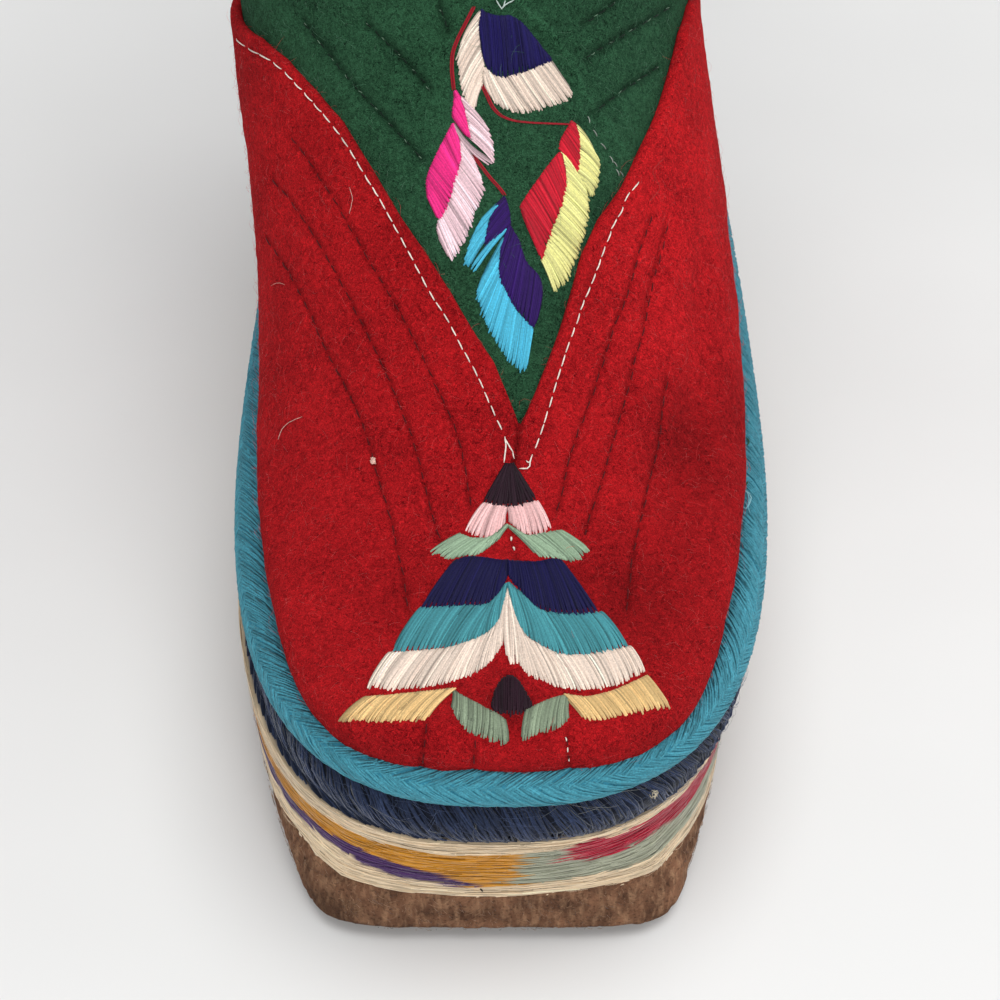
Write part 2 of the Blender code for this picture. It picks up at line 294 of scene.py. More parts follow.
def tubes(paths, normals, half_width, half_height, sides=4, taper=1.0):
    """Points and quads of thin strands along paths, flat to the surface that has the normals."""
    count, steps, _ = paths.shape
    along = unit(np.gradient(paths, axis=1))
    across = unit(np.cross(along, normals))
    up = np.cross(across, along)
    turn = 2 * math.pi * (np.arange(sides) + 0.5) / sides
    taper = np.broadcast_to(taper, (count, steps))[..., None, None]
    wide = np.broadcast_to(half_width, (count,))[:, None, None, None] * taper
    high = np.broadcast_to(half_height, (count,))[:, None, None, None] * taper
    rings = (
        paths[:, :, None]
        + across[:, :, None] * np.cos(turn)[:, None] * wide
        + up[:, :, None] * np.sin(turn)[:, None] * high
    )
    quads = sheet_quads(steps, sides)[:, [0, 3, 2, 1]]
    starts = np.arange(count)[:, None, None] * (steps * sides)
    return rings.reshape(-1, 3), (quads[None] + starts).reshape(-1, 4)


def joined(meshes):
    """Several lists of points, quads and tints as one."""
    points, quads, tints, start = [], [], [], 0
    for some, faces, tint in meshes:
        points.append(some)
        quads.append(faces + start)
        tints.append(np.broadcast_to(tint, (len(some), 3)))
        start += len(some)
    return np.concatenate(points), np.concatenate(quads), np.concatenate(tints)


def sheet(grid, shades):
    """A closed sheet of points, row after row, with a shade or a tint for each."""
    rows, columns, _ = grid.shape
    tints = shades.reshape(rows * columns, -1) * np.ones(3)
    return grid.reshape(-1, 3), sheet_quads(rows, columns), tints


def strand_tints(tints, points_each):
    """Tints of strands, one for each, as tints of their points."""
    return np.repeat(np.clip(tints, 0, 1), points_each, axis=0)


def add_piece(name, mesh_parts, material, replaces=()):
    """One piece of the boot from its points, quads and tints."""
    points, quads, tints = mesh_parts
    mesh = bpy.data.meshes.new(name)
    mesh.vertices.add(len(points))
    mesh.vertices.foreach_set("co", ((points - BOX_CENTRE) * MM).astype(np.float32).ravel())
    mesh.loops.add(quads.size)
    mesh.loops.foreach_set("vertex_index", quads.astype(np.int32).ravel())
    mesh.polygons.add(len(quads))
    mesh.polygons.foreach_set("loop_start", np.arange(0, quads.size, 4, dtype=np.int32))
    mesh.update(calc_edges=True)
    mesh.shade_smooth()
    tint = mesh.color_attributes.new("tint", "FLOAT_COLOR", "POINT")
    shades = np.ones((len(points), 4), np.float32)
    shades[:, :3] = tints
    tint.data.foreach_set("color", shades.ravel())
    mesh.materials.append(material)
    piece = bpy.data.objects.new(name, mesh)
    bpy.context.scene.collection.objects.link(piece)
    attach(piece, "root")
    if replaces:
        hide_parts(*replaces)


def uneven(points, size, octaves=3):
    """Smooth chance heights, about -1 to 1, that vary over this many millimetres."""
    return np.array([noise.fractal(Vector(p), 1.0, 2.0, octaves) for p in points / size])


# From the photo to the surface

def smooth_line(corners, count):
    """Points at even steps along a smooth line through some corners."""
    corners = np.array(corners, float)
    if len(corners) > 2:
        levels = np.linspace(0, len(corners) - 1, 16 * len(corners))
        corners = np.array([smooth_rows(corners, level) for level in levels])
    steps = np.linalg.norm(np.diff(corners, axis=0), axis=1)
    along = np.concatenate([[0.0], np.cumsum(steps)])
    places = np.linspace(0, along[-1], count)
    return np.stack([np.interp(places, along, corners[:, i]) for i in range(corners.shape[1])], axis=1)


def line_length(corners):
    return float(np.linalg.norm(np.diff(np.array(corners, float), axis=0), axis=1).sum())


class Skin:
    """A surface that places on the photo can be dropped onto."""

    def __init__(self, points, quads):
        self.tree = BVHTree.FromPolygons(points.tolist(), quads.tolist())

    def drop(self, pixels):
        """Points and normals of the surface under some places, with NaN where it isn't there."""
        pixels = np.asarray(pixels, float)
        flat = pixels.reshape(-1, 2)
        points = np.full((len(flat), 3), np.nan)
        normals = np.full((len(flat), 3), np.nan)
        rays = (
            VIEW
            + RIGHT * (flat[:, :1] - MIDDLE) / FOCAL
            + UP * (MIDDLE - flat[:, 1:]) / FOCAL
        )
        eye = Vector(EYE)
        for i, ray in enumerate(unit(rays)):
            point, normal, _, _ = self.tree.ray_cast(eye, Vector(ray))
            if point is not None:
                points[i] = point
                normals[i] = normal if normal.dot(Vector(ray)) < 0 else -normal
        return points.reshape(*pixels.shape[:-1], 3), normals.reshape(*pixels.shape[:-1], 3)

    def line(self, corners, step=2.0):
        """Points and normals under a line on the photo, about two pixels apart."""
        points, normals = self.drop(smooth_line(corners, max(2, int(line_length(corners) / step))))
        there = ~np.isnan(points[:, 0])
        return points[there], normals[there]


def on_photo(points):
    """Places on the photo of some points."""
    from_eye = points - EYE
    scale = FOCAL / (from_eye @ VIEW)
    return np.stack([MIDDLE + from_eye @ RIGHT * scale, MIDDLE - from_eye @ UP * scale], axis=-1)


def distances(points, lines):
    """How far each point is from the nearest of some lines."""
    nodes = np.concatenate(lines)
    tree = KDTree(len(nodes))
    for i, node in enumerate(nodes):
        tree.insert(node, i)
    tree.balance()
    return np.array([tree.find(point)[2] for point in points])


# Colours and shaders

def linear(red, green, blue):
    """A colour given as on a screen, 0 to 255, in linear light."""
    shares = np.array([red, green, blue]) / 255
    return np.where(shares <= 0.04045, shares / 12.92, ((shares + 0.055) / 1.055) ** 2.4)


class Value:
    """A number worked out in a material, written as an ordinary expression."""

    def __init__(self, paint, socket):
        self.paint, self.socket = paint, socket

    def sum_of(self, operation, first, second):
        made = self.paint.node("ShaderNodeMath", {"operation": operation}, {0: first, 1: second})
        return Value(self.paint, made.outputs[0])

    def __add__(self, other):
        return self.sum_of("ADD", self, other)

    def __sub__(self, other):
        return self.sum_of("SUBTRACT", self, other)

    def __rsub__(self, other):
        return self.sum_of("SUBTRACT", other, self)

    def __mul__(self, other):
        return self.sum_of("MULTIPLY", self, other)

    __radd__ = __add__
    __rmul__ = __mul__

    def clipped(self):
        made = self.paint.node("ShaderNodeClamp", {}, {"Value": self})
        return Value(self.paint, made.outputs[0])


class Paint:
    """A Principled material, and the nodes that vary it."""

    def __init__(self, name, **settings):
        self.material = bpy.data.materials.new(name)
        self.material.use_nodes = True
        self.tree = self.material.node_tree
        self.shader = self.tree.nodes["Principled BSDF"]
        for socket, value in settings.items():
            self.shader.inputs[socket.replace("_", " ").title()].default_value = value

    def node(self, kind, settings, inputs):
        made = self.tree.nodes.new(kind)
        for key, value in settings.items():
            setattr(made, key, value)
        for key, value in inputs.items():
            self.feed(made.inputs[key], value)
        return made

    def feed(self, socket, value):
        if isinstance(value, Value):
            self.tree.links.new(value.socket, socket)
        elif socket.type == "RGBA":
            socket.default_value = (*value[:3], 1.0)
        else:
            socket.default_value = value

    def noise(self, scale, detail=2.0, stretch=(1.0, 1.0, 1.0), twist=0.0):
        """Chance shades over the piece, scale of them to a metre, spread to about 0 to 1."""
        where = Value(self, self.node("ShaderNodeTexCoord", {}, {}).outputs["Object"])
        placed = self.node("ShaderNodeVectorMath", {"operation": "MULTIPLY"}, {0: where, 1: stretch})
        made = self.node(
            "ShaderNodeTexNoise", {},
            {
                "Vector": Value(self, placed.outputs[0]),
                "Scale": scale, "Detail": detail, "Distortion": twist,
            },
        )
        return ((Value(self, made.outputs["Fac"]) - 0.5) * 2.2 + 0.5).clipped()

    def tint(self):
        made = self.node("ShaderNodeVertexColor", {"layer_name": "tint"}, {})
        return Value(self, made.outputs["Color"])

    def mixed(self, factor, first, second, blend="MIX"):
        made = self.node(
            "ShaderNodeMix", {"data_type": "RGBA", "blend_type": blend},
            {0: factor, 6: first, 7: second},
        )
        return Value(self, made.outputs[2])

    def bump(self, height, strength, distance):
        made = self.node(
            "ShaderNodeBump", {}, {"Height": height, "Strength": strength, "Distance": distance}
        )
        self.feed(self.shader.inputs["Normal"], Value(self, made.outputs["Normal"]))

    def colour(self, value):
        self.feed(self.shader.inputs["Base Color"], value)


def felt_material(name, deep, pale, sheen):
    """Wool felt: mottled, matted fibres with a soft sheen."""
    paint = Paint(name, roughness=1.0, sheen_weight=0.12, sheen_roughness=0.45)
    paint.feed(paint.shader.inputs["Sheen Tint"], sheen)
    paint.shader.inputs["Specular IOR Level"].default_value = 0.05
    grain = paint.noise(1900.0, 4.0, twist=2.5)
    matted = paint.noise(640.0, 3.0, twist=1.5)
    cloudy = paint.noise(60.0, 3.0)
    shade = (grain * 1.0 + matted * 0.4 + cloudy * 0.25 - 0.32).clipped()
    paint.colour(paint.mixed(1.0, paint.mixed(shade, deep, pale), paint.tint(), "MULTIPLY"))
    paint.bump(grain * 0.8 + matted * 0.8, 0.8, 0.0007)
    return paint.material


def thread_material(name, roughness, sheen, grain_scale, contrast, stretch=(1.0, 1.0, 1.0)):
    """Thread or yarn, coloured by its tint."""
    paint = Paint(name, roughness=roughness, sheen_weight=sheen, sheen_roughness=0.4)
    paint.shader.inputs["Specular IOR Level"].default_value = 0.2
    grain = paint.noise(grain_scale, 3.0, stretch)
    shade = paint.mixed(grain, (1 - contrast,) * 3, (1 + contrast * 0.6,) * 3)
    paint.colour(paint.mixed(1.0, paint.tint(), shade, "MULTIPLY"))
    paint.bump(grain, 0.3, 0.0002)
    return paint.material


def hide_material():
    """Rough brown hide, scuffed pale and pitted dark."""
    paint = Paint("rough hide", roughness=0.95)
    paint.shader.inputs["Specular IOR Level"].default_value = 0.15
    grain = paint.noise(1700.0, 5.0)
    patches = paint.noise(190.0, 4.0)
    streaks = paint.noise(900.0, 3.0, (1.0, 1.0, 0.25))
    worn = paint.mixed(patches, linear(80, 54, 40), linear(146, 104, 78))
    worn = paint.mixed(((streaks - 0.4) * 1.1).clipped(), worn, linear(178, 138, 106))
    worn = paint.mixed(((0.42 - grain) * 1.6).clipped(), worn, linear(46, 30, 22))
    paint.colour(paint.mixed(1.0, worn, paint.tint(), "MULTIPLY"))
    paint.bump(grain * 0.7 + patches * 0.5 + streaks * 0.4, 0.8, 0.0009)
    return paint.material


RED_FELT = felt_material("red felt", linear(86, 2, 8), linear(230, 36, 42), linear(230, 90, 90))
GREEN_FELT = felt_material("green felt", linear(0, 11, 5), linear(63, 114, 80), linear(120, 170, 140))
UNDYED_FELT = felt_material(
    "undyed felt", linear(165, 152, 130), linear(214, 204, 184), linear(230, 225, 215)
)
SILK = thread_material("embroidery thread", 0.55, 0.06, 3200.0, 0.2)
COTTON = thread_material("sewing thread", 0.75, 0.06, 2600.0, 0.3)
WOOL = thread_material("wool braid", 0.9, 0.3, 1500.0, 0.35)
ROVING = thread_material("wool roving", 0.9, 0.3, 2000.0, 0.2, (0.12, 0.12, 1.0))
HIDE = hide_material()
FUZZ = thread_material("felt fibres", 0.9, 0.3, 900.0, 0.2)

THREADS = {
    "aubergine": linear(36, 12, 26),
    "pink": linear(236, 188, 186),
    "sage": linear(146, 170, 142),
    "violet": linear(14, 11, 62),
    "navy": linear(20, 12, 76),
    "teal": linear(68, 140, 148),
    "white": linear(230, 210, 194),
    "cream": linear(222, 186, 128),
    "moss": linear(132, 146, 122),
    "hot_pink": linear(228, 44, 128),
    "pale_pink": linear(240, 205, 212),
    "crimson": linear(196, 24, 46),
    "lemon": linear(232, 228, 150),
    "purple": linear(44, 12, 90),
    "sky": linear(76, 180, 210),
    "stem": linear(152, 22, 36),
}

# Other threads, fibres and cords
WHITE_SEWING, DULL_SEWING = linear(238, 226, 214), linear(150, 160, 150)
RED_SEWING, GREEN_SEWING, GREEN_GLINT = linear(84, 4, 8), linear(10, 32, 20), linear(120, 150, 126)
TOP_THREAD = linear(190, 206, 198)
RED_FIBRE, GREEN_FIBRE = linear(206, 58, 58), linear(78, 130, 98)
CORD_CORE, CORD_FIBRE = linear(50, 128, 150), linear(72, 150, 168)
# The braid's core and lobes are darker than its fibres: painted shade where they show beneath and between
# them
BRAID_CORE, BRAID_LOBE, BRAID_FIBRE = linear(22, 27, 42), linear(32, 39, 58), linear(49, 60, 88)
NAVY_HAIR, GREY_HAIR = linear(72, 84, 116), linear(150, 150, 146)
UNDER_BRAID = linear(34, 40, 60)
PALE_HIDE_FIBRE, DARK_HIDE_FIBRE = linear(168, 130, 98), linear(70, 48, 36)
BURR_FIBRE, TUFT_FIBRE = linear(240, 196, 180), linear(206, 194, 172)
CREAM, MUSTARD, PLUM = linear(236, 212, 178), linear(212, 146, 42), linear(84, 54, 104)
RUBY, GREY_SAGE = linear(182, 32, 58), linear(170, 172, 150)

# Places on the photo: quilted lines, seams and soft hollows
RED_QUILTING = (
    ((290, 136), (306, 157), (320, 179), (334, 199), (352, 231), (370, 262), (387, 291), (403, 319),
     (417, 346), (436, 385), (452, 422), (460, 444), (465, 470), (471, 508)),
    ((271, 179), (289, 199), (309, 227), (328, 259), (341, 282), (356, 312), (373, 345), (394, 392),
     (408, 426), (414, 444), (422, 473), (428, 498), (436, 528), (444, 552)),
    ((265, 236), (278, 256), (297, 287), (314, 322), (325, 348), (344, 384), (358, 414), (368, 440),
     (376, 470), (383, 495), (391, 519), (397, 549), (402, 571), (408, 610)),
    ((652, 215), (640, 250), (627, 294), (612, 333), (603, 363), (592, 395), (585, 414), (575, 442),
     (568, 464), (562, 492), (556, 514)),
    ((668, 224), (662, 250), (652, 287), (644, 329), (636, 356), (628, 391), (619, 420), (612, 445),
     (603, 478), (592, 509), (585, 535)),
    ((668, 380), (663, 403), (659, 441), (651, 476), (646, 499), (635, 544), (630, 577), (627, 610)),
    ((427, 723), (425, 742), (423, 762)),
    ((475, 739), (474, 764)),
    ((566, 737), (569, 760)),
)
MOTIF_LINE = ((511, 537), (514, 549), (516, 558))
# Soft hollows of the red felt: the line along each, its depth and half width in millimetres
Hollow = namedtuple("Hollow", "line depth width")
RED_HOLLOWS = (
    Hollow(((707, 262), (702, 320), (702, 358), (695, 416), (688, 454), (669, 494)), 1.5, 4.5),
    Hollow(((672, 224), (660, 270), (650, 310)), 0.7, 2.5),
    Hollow(((268, 430), (276, 470), (290, 520)), 0.9, 5.0),
)
# Soft patches of painted light and painted shade on the red felt: the middle, the reach across and down, and
# the change
Patch = namedtuple("Patch", "x y across down change")
# Painted light on both flanks of the red felt
PAINTED_LIGHT_RIGHT_FLANK = Patch(690, 190, 100, 190, 0.4)
PAINTED_LIGHT_LEFT_FLANK = Patch(245, 200, 60, 180, 0.2)
# Painted shade in the right-hand hollow and over the toe
PAINTED_SHADE_HOLLOW = Patch(690, 445, 40, 75, -0.4)
PAINTED_SHADE_TOE_RIGHT = Patch(630, 605, 65, 60, -0.4)
PAINTED_SHADE_TOE_LEFT = Patch(405, 605, 45, 40, -0.25)
PAINTED_SHADE_TOE_TIP = Patch(505, 712, 50, 28, -0.4)
RED_PAINTED_LIGHT_AND_SHADE = (
    PAINTED_LIGHT_RIGHT_FLANK, PAINTED_LIGHT_LEFT_FLANK, PAINTED_SHADE_HOLLOW, PAINTED_SHADE_TOE_RIGHT, PAINTED_SHADE_TOE_LEFT, PAINTED_SHADE_TOE_TIP
)
RED_SLIT = ((520, 420), (518, 440), (514, 462))
LEFT_STITCHES = (
    (235, 38), (250, 49), (277, 65), (300, 88), (319, 109), (332, 125), (346, 144), (357, 162),
    (371, 185), (384, 207), (394, 225), (407, 249), (418, 270), (432, 296), (447, 319), (457, 339),
    (469, 360), (482, 386), (490, 404), (498, 422), (505, 437),
)
RIGHT_STITCHES = (
    (640, 181), (627, 196), (622, 210), (614, 224), (607, 242), (601, 258), (595, 275), (589, 290),
    (582, 306), (577, 321), (572, 336), (566, 351), (558, 377), (550, 404), (541, 432), (534, 452),
)
APEX_ENDS = (
    ((509, 400), (511, 412), (511, 424), (510, 432), (507, 438)),
    ((505, 437), (506, 446), (505, 455), (504, 463)),
    ((505, 438), (509, 446), (513, 453), (515, 459)),
    ((532, 455), (530, 462), (529, 468), (524, 469), (519, 469)),
    ((526, 461), (529, 463), (531, 459)),
)
GREEN_SEAM = ((518, 4), (546, 28), (566, 52), (576, 73), (583, 91), (601, 114), (616, 136), (630, 160))
GREEN_QUILTING = (
    ((304, 22), (348, 78), (392, 126), (422, 159)),
    ((366, 22), (407, 63), (430, 90)),
    ((616, 2), (600, 13), (583, 24)),
    ((670, 7), (640, 25), (623, 35), (606, 45), (587, 57)),
    ((659, 67), (640, 79), (626, 88), (609, 101), (594, 112)),
    ((440, 8), (448, 30)),
)
GREEN_STITCHES = ((587, 116), (592, 128), (600, 141), (609, 155), (614, 166), (620, 178))
GREEN_STITCHES_END = ((613, 161), (619, 170), (624, 177))

# Running stitches: a dash and the gap after it, in pixels, half width and lift in millimetres, how
# many pixels a dash strays, and the thread
Stitch = namedtuple("Stitch", "dash gap half_width lift wander colour")
EDGE_STITCH = Stitch(13.6, 1.0, 0.15, 0.5, 0.4, WHITE_SEWING)
RED_STITCH = Stitch(12.0, 3.0, 0.13, 0.42, 0.8, RED_SEWING)
TOE_STITCH = Stitch(5.0, 5.0, 0.12, 0.5, 0.6, WHITE_SEWING)
MOTIF_STITCH = Stitch(4.0, 7.0, 0.2, 0.5, 0.6, WHITE_SEWING)
GREEN_STITCH = Stitch(9.0, 4.0, 0.14, 0.42, 0.8, GREEN_SEWING)
GLINT_STITCH = Stitch(5.0, 17.0, 0.07, 0.45, 1.0, GREEN_GLINT)
SEAM_STITCH = Stitch(9.0, 6.0, 0.12, 0.5, 0.6, DULL_SEWING)
SEAM_END_STITCH = Stitch(8.0, 4.0, 0.11, 0.5, 0.6, DULL_SEWING)

# Embroidery: each thread runs from a root to the tip that comes at the same place in its list. Bow
# bends it, and tuck is how far its root goes under the thread before it, both in pixels
Fan = namedtuple("Fan", "thread roots tips bow tuck")
TOE_FANS = (
    Fan("teal", ((420, 609), (440, 607), (465, 606), (489, 604), (499, 594), (504, 588), (507, 585)),
        ((392, 652), (413, 651), (437, 649), (463, 644), (483, 636), (497, 625), (506, 597)), 3, 3),
    Fan("teal", ((508, 585), (511, 587), (522, 595), (540, 611), (567, 615), (590, 615), (603, 614)),
        ((511, 602), (521, 630), (540, 645), (563, 655), (591, 656), (613, 651), (627, 646)), -3, 4),
    Fan("white", ((506.5, 588), (508.5, 588)), ((506, 652), (511.5, 664)), 5, 0.5),
    Fan("white", ((388, 654), (415, 652), (446, 649), (469, 642), (487, 634), (497, 624), (503, 610),
                  (507, 590)),
        ((368, 686), (388, 689), (420, 688), (446, 683), (470, 675), (484, 667), (493, 658),
         (502, 645)), 2, 3),
    Fan("white", ((508, 588), (509, 596), (514, 613), (523, 634), (540, 646), (560, 655), (585, 656),
                  (610, 652), (632, 648)),
        ((511, 664), (519, 664), (528, 674), (546, 682), (561, 688), (581, 690), (603, 688), (624, 682),
         (645, 669)), -2, 3),
    Fan("violet", ((456, 560), (470, 556), (485, 557), (498, 559), (505, 560), (508, 560)),
        ((421, 609), (441, 609), (462, 608), (483, 606), (497, 597), (507, 576)), 2, 0.8),
    Fan("violet", ((508, 561), (514, 561), (525, 561), (538, 561), (552, 558), (560, 560)),
        ((509, 576), (518, 588), (535, 606), (553, 615), (576, 617), (598, 613)), -2, 0.8),
    Fan("sage", ((460, 534), (469, 538), (479, 539), (489, 538), (498, 533), (508, 525)),
        ((431, 551), (440, 556), (450, 559), (464, 556), (478, 554), (497, 540)), 1, 2),
    Fan("sage", ((508, 525), (512, 528), (526, 536), (541, 534), (552, 532), (561, 531)),
        ((539, 556), (543, 557), (560, 559), (572, 561), (581, 558), (590, 550)), -1, 2),
    Fan("pink", ((484, 504), (490, 505), (496, 506), (502, 507), (507, 508)),
        ((466, 530), (474, 536), (483, 539), (494, 537), (505, 523)), 2, 3),
    Fan("pink", ((508, 508), (514, 508), (522, 506), (530, 504), (538, 502)),
        ((510, 523), (520, 531), (530, 535), (541, 533), (551, 528)), -2, 3),
    Fan("aubergine", ((507, 463), (508, 463), (509.5, 463), (511, 463), (512, 463)),
        ((483, 503), (495, 508), (509, 509), (523, 507), (537, 501)), 0, 0.5),
    Fan("cream", ((367, 697), (385, 696), (403, 694), (433, 691), (457, 688)),
        ((338, 722), (359, 721), (377, 722), (403, 721), (426, 720)), 3, 1),
    Fan("cream", ((563, 694), (585, 697), (609, 692), (631, 683), (647, 675)),
        ((586, 720), (604, 719), (627, 714), (650, 710), (670, 707)), -1, 1),
    Fan("moss", ((454, 691), (462, 696), (474, 702), (487, 709), (497, 714), (504, 720)),
        ((452, 709), (461, 723), (472, 733), (485, 738), (497, 741), (508, 744)), -2, 1),
    Fan("moss", ((568, 698), (562, 696), (548, 700), (537, 705), (527, 710)),
        ((568, 720), (557, 728), (541, 732), (531, 737), (522, 741)), 2, 1),
    Fan("aubergine", ((493, 703), (497, 688), (503, 678), (510, 675), (517, 679), (524, 690), (530, 702)),
        ((493, 708), (497, 712), (503, 714), (510, 715), (517, 714), (524, 711), (531, 707)), 0, 0.5),
)
GREEN_FANS = (
    Fan("white", ((481, 11), (480, 20), (479, 31), (480, 43), (482, 55), (484, 64), (483, 76), (482, 84)),
        ((462, 42), (458, 55), (458, 66), (460, 80), (462, 91), (466, 101), (470, 107), (474, 110)), 3, 1),
    Fan("navy", ((479, 24), (481, 9), (486, 12), (499, 15), (510, 15), (521, 22), (531, 34), (541, 48),
                 (547, 56)),
        ((484, 59), (487, 67), (490, 72), (504, 79), (517, 75), (528, 71), (538, 67), (546, 64),
         (551, 61)), -1, 0.8),
    Fan("white", ((484, 76), (484, 70), (486, 69), (494, 76), (504, 78), (515, 75), (527, 72), (538, 67),
                  (546, 63), (552, 62)),
        ((488, 91), (496, 103), (504, 108), (517, 113), (528, 113), (539, 111), (550, 106), (564, 103),
         (571, 95), (571, 92)), 1, 2.5),
    Fan("hot_pink", ((455, 91), (455, 93), (454, 104), (453, 112), (454, 117)),
        ((461, 100), (466, 116), (469, 130), (470, 139), (462, 129)), 0, 1),
    Fan("pale_pink", ((461, 98), (463, 104), (466, 116), (469, 129), (471, 140)),
        ((482, 122), (489, 131), (492, 143), (494, 153), (494, 163)), -2, 2.5),
    Fan("hot_pink", ((453, 123), (449, 130), (442, 143), (435, 157), (430, 168), (427, 178), (427, 187),
                     (428, 196)),
        ((461, 150), (461, 161), (458, 173), (454, 184), (452, 196), (447, 208), (443, 216), (439, 220)),
        0, 0.8),
    Fan("pale_pink", ((460, 140), (461, 150), (461, 161), (458, 173), (454, 184), (452, 197), (447, 208),
                      (443, 216), (439, 221), (438, 228), (441, 240)),
        ((475, 163), (481, 178), (484, 190), (479, 203), (475, 213), (471, 227), (466, 240), (460, 249),
         (454, 258), (452, 260), (450, 257)), 0, 2.5),
    Fan("pale_pink", ((453, 123), (454, 126)), ((494, 163), (490, 166)), 9, 0.5),
    Fan("crimson", ((571, 122), (569, 126), (565, 132), (561, 140), (559, 149)),
        ((576, 126), (579, 140), (580, 154), (579, 168), (578, 173)), 0, 0.8),
    Fan("lemon", ((576, 125), (578, 135), (580, 150), (579, 163), (578, 173), (583, 184)),
        ((592, 149), (597, 159), (599, 170), (597, 181), (595, 190), (591, 198)), -2, 2.5),
    Fan("crimson", ((560, 152), (554, 158), (546, 168), (538, 179), (530, 190), (523, 201), (521, 207),
                    (528, 226)),
        ((565, 176), (566, 190), (563, 203), (558, 216), (553, 228), (549, 241), (545, 252), (542, 259)),
        0, 0.8),
    Fan("lemon", ((562, 153), (564, 166), (566, 180), (565, 192), (563, 205), (558, 217), (553, 229),
                  (549, 242), (545, 253), (542, 262)),
        ((577, 174), (586, 190), (588, 204), (588, 218), (585, 230), (582, 243), (578, 255), (572, 270),
         (563, 285), (553, 292)), -1, 2.5),
    Fan("purple", ((505, 197), (507, 203), (509, 210), (510, 217), (510, 224)),
        ((490, 214), (488, 226), (484, 241), (487, 248), (497, 238)), 1, 0.8),
    Fan("sky", ((502, 201), (491, 215), (488, 222), (487, 229), (485, 239)),
        ((480, 222), (472, 238), (468, 250), (465, 262), (468, 267)), 1, 2),
    Fan("sky", ((508.5, 224.5), (509, 226), (508, 229)), ((470, 268), (472, 271), (476, 271)), 3, 0.5),
    Fan("sky", ((504, 238), (500, 252), (499, 264), (499, 276), (503, 288), (508, 297), (513, 306),
                (519, 315), (526, 322), (533, 330)),
        ((484, 275), (477, 292), (479, 303), (483, 315), (489, 329), (496, 342), (504, 354), (511, 362),
         (520, 371), (527, 368)), 0, 2.5),
    Fan("purple", ((509, 225), (511, 227), (514, 232), (518, 238), (521, 248), (524, 257), (528, 264),
                   (533, 269), (538, 275), (541, 284), (541, 293)),
        ((500, 250), (499, 265), (499, 278), (504, 291), (509, 300), (515, 309), (520, 315), (526, 321),
         (531, 326), (534, 327), (537, 316)), -1, 0.8),
)
GREEN_STEMS = (
    ((474, 6), (466, 22), (458, 38), (453, 52), (452, 67), (453, 80), (454, 90)),
    ((482, 84), (487, 95), (493, 107), (501, 115), (513, 120), (527, 122), (544, 123), (570, 124)),
    ((472, 153), (480, 164), (490, 177), (499, 187), (505, 195)),
)
# The strands of a stem: how far each lies to the side, in pixels, and its shade
STEM_STRANDS = ((-1.4, 1.0), (0.0, 0.7), (1.2, 1.15))
TOP_THREADS = (((496, 0), (499, 5), (502, 9)), ((514, 0), (506, 4), (501, 9)), ((505, 0), (503, 8)))

# Loose things on the photo: a line, its colour on a screen and its half width in millimetres
RED_LOOSE = (
    (((248, 176), (258, 171), (272, 178), (283, 197), (276, 211), (266, 227), (254, 228)),
     (206, 120, 112), 0.045),
    (((350, 187), (353, 199), (350, 214)), (222, 176, 164), 0.05),
    (((272, 286), (279, 283), (286, 285)), (222, 170, 158), 0.045),
    (((279, 440), (284, 428), (293, 421), (303, 417)), (226, 196, 184), 0.05),
    (((646, 152), (655, 168), (650, 186), (660, 203)), (196, 74, 68), 0.05),
    (((664, 158), (652, 172), (659, 188), (648, 202)), (178, 58, 56), 0.05),
    (((613, 193), (610, 190)), (224, 206, 190), 0.09),
    (((604, 212), (601, 208)), (224, 206, 190), 0.09),
    (((385, 182), (388, 178)), (224, 206, 190), 0.09),
)
BURR = (374, 462)
CORD_LOOSE = (
    (((746, 438), (749, 442), (747, 446)), (44, 92, 62), 0.16),
    (((743, 481), (746, 485), (748, 482)), (44, 92, 62), 0.16),
    (((741, 494), (746, 492), (749, 500), (746, 510), (742, 505)), (128, 194, 208), 0.13),
    (((740, 500), (746, 504), (750, 514)), (116, 184, 200), 0.13),
    (((744, 490), (751, 497), (748, 508)), (150, 206, 216), 0.12),
)
SOLE_LOOSE = (
    (((376, 807), (370, 814), (365, 825), (368, 832), (373, 840)), (232, 228, 220), 0.06),
    (((480, 886), (483, 888)), (36, 28, 26), 0.16),
)
SOLE_TUFTS = ((324, 790), (330, 799), (652, 793), (622, 824))


# Felt

# Forms of the red felt: how far it moves out, the level of UPPER_SECTIONS where it moves most, and its reach
Swell = namedtuple("Swell", "out level reach")
TOE_BULGE = Swell(3.3, 1.9, 0.6)
SIDE_DRAWN = Swell(-1.9, 1.6, 1.3)
FLANK_DRAWN = Swell(-1.8, 2.5, 2.5)
# Where they are: from none to all of it, by places round the boot, rows and columns of the photo
TOE_PLACES = (0.11, 0.03)
BESIDE_TOE_BEGINS, BESIDE_TOE_ENDS = (430, 520), (770, 710)
FLANK_BEGINS, FLANK_ENDS, FLANK_ACROSS = (90, 170), (310, 240), (640, 700)
PATCH_PLACES = (0.3, 0.22)

# Quilting: depth and half width of a sewn line, and how far the felt puffs up and how far from the line
Quilting = namedtuple("Quilting", "depth width puff puff_width")
RED_PUFF = Quilting(0.4, 0.8, 0.25, 4.0)
GREEN_PUFF = Quilting(0.65, 0.8, 0.25, 3.5)
SEWN_DEPTH, SEWN_WIDTH = 0.45, 0.9
SLIT_DEPTH, SLIT_WIDTH = 1.4, 0.6
RIDGE_HEIGHT, RIDGE_WIDTH = 0.55, 0.8
# Lines drawn by sewing: their half width, and how far painted shade darkens the felt in their grooves and the
# slit or, on the ridge, makes it pale
LINE_WIDTH = 0.5
QUILTING_DARK, SLIT_DARK, GREEN_LINE_DARK, RIDGE_PALE = 0.4, 0.6, 0.45, 0.5

